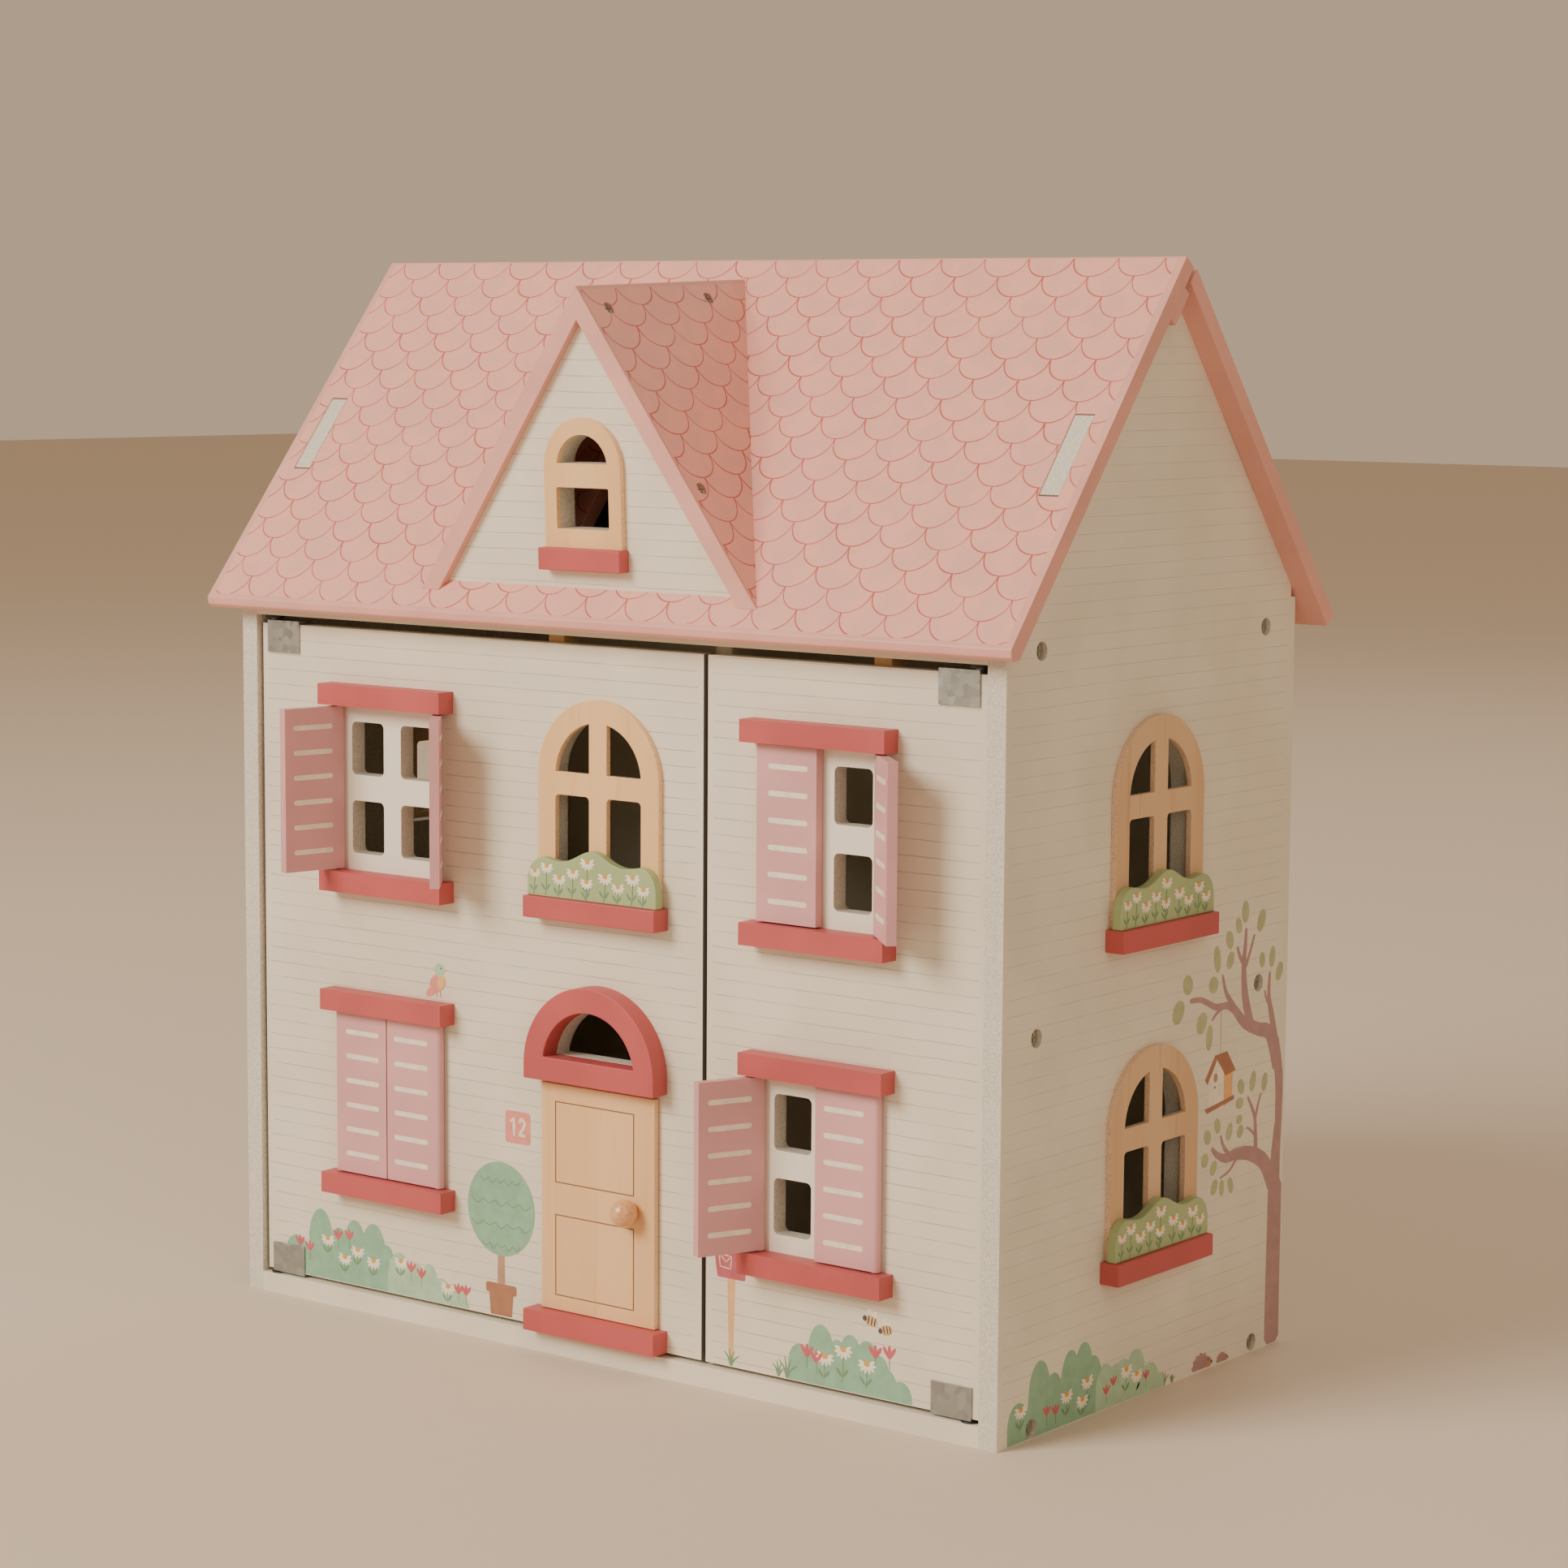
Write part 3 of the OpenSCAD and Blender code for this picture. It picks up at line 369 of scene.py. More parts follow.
def plated(name, colour, rough_low, rough_high):
    """Plated steel with soft spangles and fine scratches."""
    finish = Finish(name)
    spangle = finish.tree.nodes.new("ShaderNodeTexVoronoi")
    finish.put(spangle.inputs["Vector"], finish.place)
    spangle.inputs["Scale"].default_value = 260
    patch = finish.dot(spangle.outputs["Color"], (0.34, 0.33, 0.33))
    scratch = finish.noise(1, 3, finish.stretched((1600, 1600, 60)))
    darker = tuple(c * 0.8 for c in colour[:3]) + (1,)
    tone = finish.mix(finish.ramp(patch, 0.2, 0.8), darker, colour)
    finish.bump(scratch, 0.04 * MM, 0.4)
    return finish.done(tone, finish.ramp(patch, 0.1, 0.9, rough_low, rough_high), 1.0)


def inked(name, colour):
    """Printed ink on the paint."""
    finish = Finish(name)
    patch = finish.noise(160, 3)
    lighter = tuple(min(1, c * 1.07) for c in colour[:3]) + (1,)
    darker = tuple(c * 0.93 for c in colour[:3]) + (1,)
    tone = finish.mix(finish.ramp(patch, 0.3, 0.7), darker, lighter)
    finish.bump(finish.noise(900, 2), 0.05 * MM, 0.5)
    return finish.done(tone, finish.ramp(patch, 0.3, 0.7, 0.48, 0.56))


white_paint = painted("white_paint", WHITE, 0.03)
coral_paint = painted("coral_paint", CORAL, 0.05)
pink_paint = painted("pink_paint", PINK_EDGE, 0.05)
mauve_paint = painted("mauve_paint", MAUVE, 0.04)
sage_paint = painted("sage_paint", linear(166, 182, 132), 0.05)
front_ply = plywood("front_ply", (240, 194, 138))
# same plywood as front_ply with a darker, duller tint: painted shade on the side windows, which stand in
# the shaded side walls
shaded_side_ply = plywood("shaded_side_ply", (218, 182, 142), edge_axis=(1, 0, 0))
knob_wood = plywood("knob_wood", (222, 162, 102), (60, 300, 300), (0, 0, 0), shine=0.9)
leaf_low, leaf_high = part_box("entry_door")
burnt_lines = ((leaf_low[0] + 5 * MM, leaf_low[1] + 0.12 * MM, leaf_low[2] + 3 * MM),
               (leaf_high[0] - 5 * MM, leaf_low[1] + 0.7 * MM, leaf_high[2] - 3 * MM))
door_ply = plywood("door_ply", (239, 194, 142), groove=burnt_lines)
zinc = plated("zinc", linear(182, 186, 184), 0.28, 0.42)
bright_steel = plated("bright_steel", linear(190, 184, 172), 0.25, 0.4)
black_plastic = painted("black_plastic", linear(34, 32, 30), 0.1)

ink_green = inked("ink_green", linear(138, 178, 148))
ink_sage = inked("ink_sage", linear(168, 198, 166))
ink_stem = inked("ink_stem", linear(112, 146, 110))
ink_petal = inked("ink_petal", linear(240, 232, 214))
ink_yolk = inked("ink_yolk", linear(222, 160, 70))
ink_coral = inked("ink_coral", linear(202, 92, 100))
ink_salmon = inked("ink_salmon", linear(226, 142, 128))
ink_yellow = inked("ink_yellow", linear(228, 184, 112))
ink_dark = inked("ink_dark", linear(84, 76, 82))
ink_bark = inked("ink_bark", linear(172, 136, 134))
ink_leaf = inked("ink_leaf", linear(176, 178, 136))
ink_pot = inked("ink_pot", linear(164, 112, 84))
ink_trunk = inked("ink_trunk", linear(180, 136, 110))
ink_tan = inked("ink_tan", linear(228, 174, 116))
ink_berry = inked("ink_berry", linear(186, 92, 102))
ink_cream = inked("ink_cream", CREAM)


# ---------------------------------------------------------------- boards from the frame

def shown(name, bm, body, materials):
    """A new piece that rides on the body and carries the materials."""
    mesh = bpy.data.meshes.new(name)
    bm.to_mesh(mesh)
    bm.free()
    piece = bpy.data.objects.new(name, mesh)
    bpy.context.scene.collection.objects.link(piece)
    for material in materials:
        mesh.materials.append(material)
    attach(piece, body)
    return piece


def eased(node, material, radius=0.5 * MM, steps=3, angle=28):
    """The frame's piece with its sharp edges rounded over, as sanded and painted wood has."""
    bm = bmesh.new()
    bm.from_mesh(frame["nodes"][node].data)
    bmesh.ops.remove_doubles(bm, verts=bm.verts, dist=0.002 * MM)
    bmesh.ops.dissolve_limit(bm, angle_limit=math.radians(0.3), verts=bm.verts, edges=bm.edges)
    for face in bm.faces:
        face.smooth = True
        face.material_index = 0
    piece = shown(node + "_finished", bm, BODY_OF[node], [material])
    bevel = piece.modifiers.new("eased_edges", "BEVEL")
    bevel.width = radius
    bevel.segments = steps
    bevel.limit_method = "ANGLE"
    bevel.angle_limit = math.radians(angle)
    flatten = piece.modifiers.new("flat_faces", "WEIGHTED_NORMAL")
    flatten.weight = 100
    flatten.use_face_influence = False
    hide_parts(node)
    return piece


DOOR_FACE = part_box("left_door_panel")[0][1]
SIDE_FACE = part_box("right_wall")[1][0]
left_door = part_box("left_door_panel")
right_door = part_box("right_door_panel")
upper_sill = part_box("arched_sill")[1][2]
bar_h = upper_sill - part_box("arched_sill")[0][2]
lower_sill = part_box("left_sills")[0][2] + bar_h
window_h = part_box("left_lintels")[1][2] - bar_h - upper_sill
FIELD_HALF = 35.8 * MM


def window_fields(sills):
    """The plain white fields behind the shutters over a column of sills."""
    centre = (sills[0][0] + sills[1][0]) / 2
    return [(centre - FIELD_HALF, centre + FIELD_HALF, z, z + window_h)
            for z in (lower_sill, upper_sill)]


def box_u(box, margin):
    """The box's reach along the front, less a margin at both ends."""
    return box[0][0] + margin, box[1][0] - margin


left_siding = siding("left_door_siding", (1, 0, 0), (0, -1, 0), *box_u(left_door, 2 * MM),
                     window_fields(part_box("left_sills")), 3.0)
right_siding = siding("right_door_siding", (1, 0, 0), (0, -1, 0), *box_u(right_door, 2 * MM),
                      window_fields(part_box("right_sills")), 11.0)
wall_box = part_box("right_wall")
wall_reach = (wall_box[0][1] + 2 * MM, wall_box[1][1] - 1 * MM)
right_wall_siding = siding("right_wall_siding", (0, 1, 0), (1, 0, 0), *wall_reach, (), 23.0, 0.5)
left_wall_siding = siding("left_wall_siding", (0, 1, 0), (-1, 0, 0), *wall_reach, (), 37.0, 0.5)
gable_reach = box_u(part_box("dormer_gable"), 0)
gable_siding = siding("gable_siding", (1, 0, 0), (0, -1, 0), *gable_reach, (), 51.0)

# roof slopes, from the frame's own boards
ROOF_PITCH, DORMER_PITCH, DORMER_LEAN = 51.3, 54.6, 2.2
SLOPE_END = 215.5 * MM
pitch = math.radians(ROOF_PITCH)
front_down = (0, -math.cos(pitch), -math.sin(pitch))
front_out = (0, -math.sin(pitch), math.cos(pitch))
rear_down = (0, math.cos(pitch), -math.sin(pitch))
rear_out = (0, math.sin(pitch), math.cos(pitch))
roof_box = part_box("front_roof")
ridge = roof_box[1][2]
roof_top = -ridge * math.sin(pitch)
half_roof = roof_box[1][0]
front_tiles = scalloped("front_tiles", (1, 0, 0), front_down, front_out, roof_top,
                        4 * MM - half_roof, half_roof - 4 * MM, 1 * MM, SLOPE_END)
rear_tiles = scalloped("rear_tiles", (1, 0, 0), rear_down, rear_out, roof_top,
                       4 * MM - half_roof, half_roof - 4 * MM, 6 * MM, SLOPE_END)
dormer_pitch, lean = math.radians(DORMER_PITCH), math.radians(DORMER_LEAN)
dormer_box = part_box("dormer_right_roof")
dormer_x = dormer_box[0][0]
back_end = Vector((dormer_x, -(ridge - dormer_box[1][2]) / math.tan(pitch), dormer_box[1][2]))
rearward = Vector((0, math.cos(lean), math.sin(lean)))
run = (back_end.y - dormer_box[0][1]) / math.cos(lean)
dormer_depth = (back_end.dot(rearward) - run + 1.5 * MM, back_end.dot(rearward) + 2 * MM)


def dormer_tiles(name, side):
    """Tiles on one slope of the dormer, which leans forward."""
    tip = Matrix.Rotation(lean, 3, "X")
    down = tip @ Vector((side * math.cos(dormer_pitch), 0, -math.sin(dormer_pitch)))
    out = tip @ Vector((side * math.sin(dormer_pitch), 0, math.cos(dormer_pitch)))
    return scalloped(name, rearward, down, out, back_end.dot(down), *dormer_depth, 2 * MM, 176 * MM)


left_dormer_tiles = dormer_tiles("left_dormer_tiles", -1)
right_dormer_tiles = dormer_tiles("right_dormer_tiles", 1)

WOOD_PIECES = {
    "left_wall": left_wall_siding, "right_wall": right_wall_siding, "base_board": white_paint,
    "first_floor": white_paint, "attic_floor": white_paint, "back_panel": white_paint,
    "ground_partition": white_paint, "upper_partition": white_paint,
    "left_door_panel": left_siding, "right_door_panel": right_siding, "dormer_gable": gable_siding,
    "front_roof": front_tiles, "rear_roof": rear_tiles, "ridge_cleat": pink_paint,
    "dormer_left_roof": left_dormer_tiles, "dormer_right_roof": right_dormer_tiles,
    "left_lintels": coral_paint, "left_sills": coral_paint, "right_lintels": coral_paint,
    "right_sills": coral_paint, "arched_sill": coral_paint, "doorway_arch": coral_paint,
    "door_step": coral_paint, "dormer_sill": coral_paint, "right_side_sills": coral_paint,
    "left_side_sills": coral_paint, "arched_window": front_ply, "dormer_window": front_ply,
    "entry_door": door_ply, "door_stops": front_ply, "right_upper_window": shaded_side_ply,
    "right_lower_window": shaded_side_ply, "left_upper_window": shaded_side_ply, "left_lower_window": shaded_side_ply,
    "arched_planter": sage_paint, "right_side_planters": sage_paint, "left_side_planters": sage_paint,
}
for node, material in WOOD_PIECES.items():
    fine = node.endswith(("window", "door_panel", "wall", "gable")) or node in ("entry_door", "base_board")
    eased(node, material, (0.3 if fine else 0.6) * MM)

SHUTTERS = [node for node in frame["nodes"] if node.endswith(("_shutter_l", "_shutter_r"))]
for node in SHUTTERS:
    eased(node, mauve_paint, 0.5 * MM)
for node in ("left_door_brackets", "right_door_brackets"):
    eased(node, zinc, 0.6 * MM)
for node in ("wall_screws", "back_screws", "dormer_screws"):
    eased(node, bright_steel, 0.25 * MM, 2)
for node in ("rear_hinge_leaves", "front_hinge_leaves", "roof_hinge_pins", "left_shutter_pins",
             "right_shutter_pins", "entry_door_pins"):
    frame["nodes"][node].data.materials.clear()
    frame["nodes"][node].data.materials.append(bright_steel)
eased("pivot_sockets", black_plastic, 0.2 * MM, 2)


# ---------------------------------------------------------------- turned knob

def turned_knob():
    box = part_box("door_knob")
    centre_x, centre_z = (box[0][0] + box[1][0]) / 2, (box[0][2] + box[1][2]) / 2
    radius = (box[1][0] - box[0][0]) / 2
    back_y = box[1][1]
    middle_y = box[0][1] + radius
    bm = bmesh.new()
    seam = math.acos(min(1, (back_y - middle_y) / radius))
    outline = [bm.verts.new((0, back_y, 0))]
    steps = 18
    for i in range(steps):
        angle = seam + (math.pi - seam) * i / steps
        outline.append(bm.verts.new((radius * math.sin(angle), middle_y + radius * math.cos(angle), 0)))
    outline.append(bm.verts.new((0, middle_y - radius, 0)))
    for a, b in zip(outline, outline[1:]):
        bm.edges.new((a, b))
    bmesh.ops.spin(bm, geom=bm.verts[:] + bm.edges[:], cent=(0, 0, 0), axis=(0, 1, 0), dvec=(0, 0, 0),
                   angle=2 * math.pi, steps=40, use_merge=True)
    bmesh.ops.remove_doubles(bm, verts=bm.verts, dist=0.005 * MM)
    bmesh.ops.recalc_face_normals(bm, faces=bm.faces)
    bmesh.ops.translate(bm, verts=bm.verts, vec=(centre_x, 0, centre_z))
    for face in bm.faces:
        face.smooth = True
    knob = shown("turned_knob", bm, "entry_leaf", [knob_wood])
    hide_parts("door_knob")


turned_knob()


# ---------------------------------------------------------------- prints

class Print:
    """Inks laid flat on a board: each shape is a very thin closed plate, in millimetres (u, v)."""

    def __init__(self, name, body, slot, place, inks):
        self.name, self.body, self.slot, self.place, self.inks = name, body, slot, place, inks
        self.bm = bmesh.new()
        self.count = 0

    def lay(self, shape, ink, level):
        """Thicken a flat shape into a plate. Higher levels lie over lower ones."""
        self.count += 1
        top = 0.05 + 0.035 * level + 0.0035 * (self.count % 9)
        bmesh.ops.translate(shape, verts=shape.verts, vec=(0, 0, -0.05))
        grown = bmesh.ops.extrude_face_region(shape, geom=shape.faces[:])
        raised = [v for v in grown["geom"] if isinstance(v, bmesh.types.BMVert)]
        bmesh.ops.translate(shape, verts=raised, vec=(0, 0, top + 0.05))
        for face in shape.faces:
            face.material_index = self.inks.index(ink)
        for vert in shape.verts:
            vert.co = Vector(self.place(*(c * MM for c in vert.co)))
        bmesh.ops.recalc_face_normals(shape, faces=shape.faces)
        mesh = bpy.data.meshes.new("plate")
        shape.to_mesh(mesh)
        shape.free()
        self.bm.from_mesh(mesh)
        bpy.data.meshes.remove(mesh)

    def ellipse(self, ink, u, v, ru, rv, turn=0.0, level=0, sides=28):
        shape = bmesh.new()
        bmesh.ops.create_circle(shape, cap_ends=True, segments=sides, radius=1)
        bmesh.ops.transform(shape, verts=shape.verts, matrix=Matrix.Translation((u, v, 0))
                            @ Matrix.Rotation(math.radians(turn), 4, "Z")
                            @ Matrix.Diagonal((ru, rv, 1, 1)))
        self.lay(shape, ink, level)

    def patch(self, ink, corners, level=0, rounded=0.0):
        """A polygon, with rounded corners if asked."""
        shape = bmesh.new()
        face = shape.faces.new([shape.verts.new((u, v, 0)) for u, v in corners])
        if rounded:
            bmesh.ops.bevel(shape, geom=face.verts[:], affect="VERTICES", offset=rounded, segments=5,
                            profile=0.5, material=-1)
        self.lay(shape, ink, level)

    def stroke(self, ink, points, start, end=None, level=1):
        """A brush stroke through the points that goes from one width to another."""
        end = start if end is None else end
        path = smooth_path(points)
        shape = bmesh.new()
        previous = None
        for i, point in enumerate(path):
            ahead = path[min(i + 1, len(path) - 1)] - path[max(i - 1, 0)]
            side = Vector((-ahead.y, ahead.x)).normalized()
            half = (start + (end - start) * i / (len(path) - 1)) / 2
            if i in (0, len(path) - 1):
                half *= 0.6
            a, b = point + side * half, point - side * half
            pair = (shape.verts.new((a.x, a.y, 0)), shape.verts.new((b.x, b.y, 0)))
            if previous:
                shape.faces.new((previous[0], previous[1], pair[1], pair[0]))
            previous = pair
        self.lay(shape, ink, level)

    def finish(self):
        for face in self.bm.faces:
            face.smooth = False
        return shown(self.name, self.bm, self.body, self.inks)


def smooth_path(points, steps=6):
    """Points on a smooth curve through the given ones."""
    points = [Vector(p) for p in points]
    if len(points) < 3:
        return [points[0].lerp(points[-1], i / 2) for i in range(3)]
    path = []
    for i in range(len(points) - 1):
        before, a = points[max(i - 1, 0)], points[i]
        b, after = points[i + 1], points[min(i + 2, len(points) - 1)]
        for k in range(steps):
            t = k / steps
            path.append(0.5 * ((2 * a) + (b - before) * t + (2 * before - 5 * a + 4 * b - after) * t ** 2
                               + (3 * a - before - 3 * b + after) * t ** 3))
    path.append(points[-1])
    return path


def daisy(work, u, v, size, stem=0.0, lean=0.0, level=3):
    """A daisy seen half from the side: petals fan out and down below a warm centre."""
    if stem:
        foot = (u - lean, v - stem)
        work.stroke(ink_stem, [(u, v), (u - lean * 0.3, v - stem * 0.55), foot], 0.45, 0.45, level - 1)
        for side in (-1, 1):
            work.ellipse(ink_stem, foot[0] + side * size * 0.42, foot[1] + stem * 0.3,
                         size * 0.15, size * 0.5, -side * 38, level - 1, 12)
    petals = 8
    for i in range(petals):
        angle = math.radians(-205 + 230 * i / (petals - 1)) + 0.1 * math.sin(7 * u)
        reach = size * (0.62 + 0.1 * abs(math.cos(angle)))
        work.ellipse(ink_petal, u + reach * math.cos(angle), v + 0.8 * reach * math.sin(angle),
                     size * 0.42, size * 0.17, math.degrees(angle), level, 12)
    work.ellipse(ink_yolk, u, v + size * 0.12, size * 0.36, size * 0.28, 0, level + 2, 16)


def tulip(work, u, v, size, level=3):
    """A tulip of three upright petals on a short stem."""
    work.stroke(ink_stem, [(u, v - size * 0.4), (u + 0.3, v - size * 1.7)], 0.4, 0.4, level - 1)
    for turn, reach in ((-34, 0.42), (0, 0.0), (34, -0.42)):
        work.ellipse(ink_coral, u + reach * size, v + size * (0.12 if turn else 0.2),
                     size * 0.2, size * 0.62, turn, level, 12)
    work.ellipse(ink_coral, u, v - size * 0.25, size * 0.3, size * 0.3, 0, level, 12)


def bird(work, u, v):
    """A small round songbird of two ellipses with a wing and a beak."""
    work.ellipse(ink_salmon, u - 3.4, v - 1.2, 5.2, 2.2, 38, 2)
    work.ellipse(ink_salmon, u, v + 2.6, 5.4, 4.2, 24, 3)
    work.ellipse(ink_yellow, u + 2.2, v + 3.2, 2.2, 3.8, -14, 4)
    work.ellipse(ink_sage, u + 1.2, v + 9.2, 3.2, 3.4, 0, 4)
    work.patch(ink_yellow, [(u + 3.8, v + 8.4), (u + 6.6, v + 9.4), (u + 3.8, v + 10.2)], 3)
    work.ellipse(ink_dark, u + 2.2, v + 10.0, 0.5, 0.5, 0, 6, 10)
    for step in (-0.8, 1.6):
        work.stroke(ink_berry, [(u + step, v - 1), (u + step + 0.3, v - 4.6)], 0.45, 0.45, 2)


def bee(work, u, v, size, turn):
    """A honey bee with three bands and two pale wings."""
    work.ellipse(ink_petal, u - size * 0.1, v + size * 0.62, size * 0.3, size * 0.52, 20 + turn, 2, 14)
    work.ellipse(ink_petal, u + size * 0.4, v + size * 0.58, size * 0.26, size * 0.46, -24 + turn, 2, 14)
    work.ellipse(ink_yellow, u, v, size * 0.72, size * 0.5, turn, 3, 20)
    slope = Vector((math.cos(math.radians(turn)), math.sin(math.radians(turn))))
    side = Vector((-slope.y, slope.x))
    for shift in (-0.26, 0.12, 0.46):
        middle = Vector((u, v)) + slope * size * shift
        reach = side * size * 0.42 * math.sqrt(1 - shift ** 2)
        work.stroke(ink_dark, [middle - reach, middle + reach], size * 0.17, size * 0.17, 4)
    head = Vector((u, v)) - slope * size * 0.7
    work.ellipse(ink_dark, head.x, head.y, size * 0.24, size * 0.26, 0, 5, 14)


def hedgehog(work, u, v, size):
    """A hedgehog in profile: a saw-toothed back and a pale snout."""
    back = []
    for i in range(15):
        angle = math.radians(-10 + 200 * i / 14)
        reach = size * (1.0 if i % 2 else 0.84)
        back.append((u + reach * math.cos(angle), v + 0.85 * reach * math.sin(angle)))
    work.patch(ink_bark, back, 2)
    work.ellipse(ink_trunk, u + size * 0.72, v + size * 0.16, size * 0.42, size * 0.3, -14, 4, 18)
    work.ellipse(ink_dark, u + size * 1.12, v + size * 0.1, size * 0.1, size * 0.1, 0, 6, 10)
    work.ellipse(ink_dark, u + size * 0.76, v + size * 0.26, size * 0.07, size * 0.07, 0, 6, 10)


def bush(work, lobes, floor, ink=None, level=0, holes=()):
    """One flat shape under the outline of all the round lobes, with holes left for screws."""
    def top(u):
        best = floor
        for cu, cv, ru, rv in lobes:
            if abs(u - cu) < ru:
                best = max(best, cv + rv * math.sqrt(1 - ((u - cu) / ru) ** 2))
        return best

    left = min(u - ru for u, v, ru, rv in lobes)
    right = max(u + ru for u, v, ru, rv in lobes)
    stops = {round(left + 0.05 + (right - left - 0.1) * i / 240, 4) for i in range(241)}
    for hu, hv, hr in holes:
        stops = {u for u in stops if not (hu - hr - 0.2 < u < hu + hr + 0.2)}
        stops |= {round(hu - hr * math.cos(math.pi * i / 16), 4) for i in range(17)}
    columns = []
    shape = bmesh.new()
    for u in sorted(stops):
        levels = [floor]
        for hu, hv, hr in holes:
            if abs(u - hu) <= hr + 0.001:
                reach = math.sqrt(max(0, hr ** 2 - (u - hu) ** 2))
                levels += [hv - reach, hv + reach] if reach > 0.01 else [hv]
        levels.append(max(top(u), floor + 0.3))
        columns.append([shape.verts.new((u, v, 0)) for v in levels])
    for a, b in zip(columns, columns[1:]):
        if len(a) == 2 or len(b) == 2:
            shape.faces.new(a[::-1] + b)
        else:
            shape.faces.new((a[0], b[0], b[1], a[1]))
            shape.faces.new((a[-2], b[-2], b[-1], a[-1]))
    work.lay(shape, ink or ink_green, level)


def grass(work, u, v, height, level=1):
    """A tuft of four blades."""
    for lean, reach in ((-0.5, 0.8), (-0.15, 1.0), (0.25, 0.9), (0.6, 0.65)):
        work.stroke(ink_stem, [(u, v), (u + lean * height * 0.4, v + reach * height * 0.6),
                               (u + lean * height, v + reach * height)], 1.4, 0.3, level)


def on_front(face):
    """Where a print's (u, v, w) lies on a face that looks to the front."""
    return lambda u, v, w: (u, face - w, v)


def on_side(face, sign):
    """Where a print's (u, v, w) lies on a face that looks to the right (1) or the left (-1)."""
    return lambda u, v, w: (sign * (face + w), u, v)


INKS = [ink_salmon, ink_yellow, ink_dark, ink_green, ink_sage, ink_stem, ink_petal, ink_yolk,
        ink_coral, ink_bark, ink_leaf, ink_pot, ink_trunk, ink_tan, ink_berry, ink_cream]
DOOR_FOOT = left_door[0][2] / MM + 0.4


def left_door_prints():
    """Bushes, a clipped tree, a bird and the number plate."""
    work = Print("left_door_prints", "left_door", "white_paint", on_front(DOOR_FACE), INKS)
    bush(work, [(-203, 21, 8.5, 11), (-186, 31, 8.5, 17), (-173, 28, 6.5, 12), (-162, 31, 7.5, 14.5),
                (-149, 30, 8.5, 15.5), (-140, 24, 6, 12)], DOOR_FOOT)
    bush(work, [(-131, 21, 8, 12.5), (-119, 18, 6.5, 11.5), (-110.5, 19, 6, 12), (-102, 14, 6.5, 11),
                (-92, 12, 8, 9)], DOOR_FOOT, ink_sage, 1)
    for u, v in ((-181, 33), (-169, 25), (-160, 30), (-149, 26), (-130, 29), (-98, 21)):
        daisy(work, u, v, 4.2, 7.5, 0.5)
    for u, v in ((-201, 29), (-194, 27), (-174, 36), (-166, 37), (-123, 27), (-116, 25),
                 (-91, 21), (-86, 21)):
        tulip(work, u, v, 4.0)
    # clipped round tree in a pot
    work.ellipse(ink_green, -62.5, 66, 22, 23.5, 0, 1, 48)
    work.patch(ink_trunk, [(-65, 26), (-60, 26), (-60.3, 44), (-64.7, 44)], 0)
    work.patch(ink_pot, [(-69.5, 12.6), (-55.5, 12.6), (-54.5, 25), (-70.5, 25)], 1, 0.8)
    work.patch(ink_pot, [(-72.5, 23.5), (-52.5, 23.5), (-52.5, 28.5), (-72.5, 28.5)], 2, 1.2)
    for v, left, right in ((81, -76, -50), (70, -82, -43), (59, -82, -43), (48.5, -75, -50)):
        humps = 5
        step = (right - left) / humps
        for i in range(humps):
            a = left + i * step
            sag = 2.4 + 0.5 * math.sin(3 * i + v)
            work.stroke(ink_stem, [(a, v), (a + step * 0.5, v - sag), (a + step, v)], 0.5, 0.5, 2)
    bird(work, -104, 171)
    # number plate
    work.patch(ink_salmon, [(-59.5, 100), (-43.2, 100), (-43.2, 116), (-59.5, 116)], 0, 1.8)
    work.stroke(ink_cream, [(-56.2, 110.4), (-53.6, 112.6)], 1.6, 1.6, 2)
    work.stroke(ink_cream, [(-53.9, 112.6), (-53.9, 103.8)], 1.8, 1.8, 3)
    work.stroke(ink_cream, [(-50.6, 110.6), (-48.9, 112.5), (-47.0, 110.6), (-48.0, 107.9),
                            (-50.6, 104.4)], 1.6, 1.6, 2)
    work.stroke(ink_cream, [(-50.8, 104.4), (-46.3, 104.4)], 1.7, 1.7, 3)
    work.finish()


def right_door_prints():
    """Bushes, bees and a letter box."""
    work = Print("right_door_prints", "right_door", "white_paint", on_front(DOOR_FACE), INKS)
    bush(work, [(122.5, 20, 7, 10), (134.6, 27, 7.5, 14), (144, 25, 5.5, 10.5), (151.5, 27, 6.5, 12),
                (161, 25, 7.5, 12.5), (168, 21, 6, 11), (173, 17, 5, 9), (180, 13, 6.5, 9)], DOOR_FOOT)
    for u, v, stem in ((137, 26, 11), (147.5, 31, 15), (161, 26.5, 11)):
        daisy(work, u, v, 4.6, stem, 0.6)
    for u, v in ((126.5, 27), (132, 25), (165.5, 33), (173.5, 34)):
        tulip(work, u, v, 4.6)
    bee(work, 163, 47.5, 5.0, -12)
    bee(work, 171.7, 44.5, 4.8, 14)
    grass(work, 110, DOOR_FOOT + 0.3, 7)
    grass(work, 115, DOOR_FOOT + 0.3, 10)
    # letter box on a post
    work.patch(ink_tan, [(80.6, 15), (82.9, 15), (84.1, 55), (79.4, 55)], 0)
    work.patch(ink_berry, [(73.5, 54), (90, 54), (91.5, 70), (71, 70)], 1, 0.8)
    for a, b in (((75.2, 59.2), (81.4, 58.6)), ((81.4, 58.6), (82, 64.6)), ((82, 64.6), (74.6, 65.2)),
                 ((74.6, 65.2), (75.2, 59.2)), ((75, 65), (78.6, 61.6)), ((78.6, 61.6), (81.8, 64.6))):
        work.stroke(ink_cream, [a, b], 0.5, 0.5, 3)
    grass(work, 81.8, DOOR_FOOT + 0.3, 8, 2)
    work.finish()


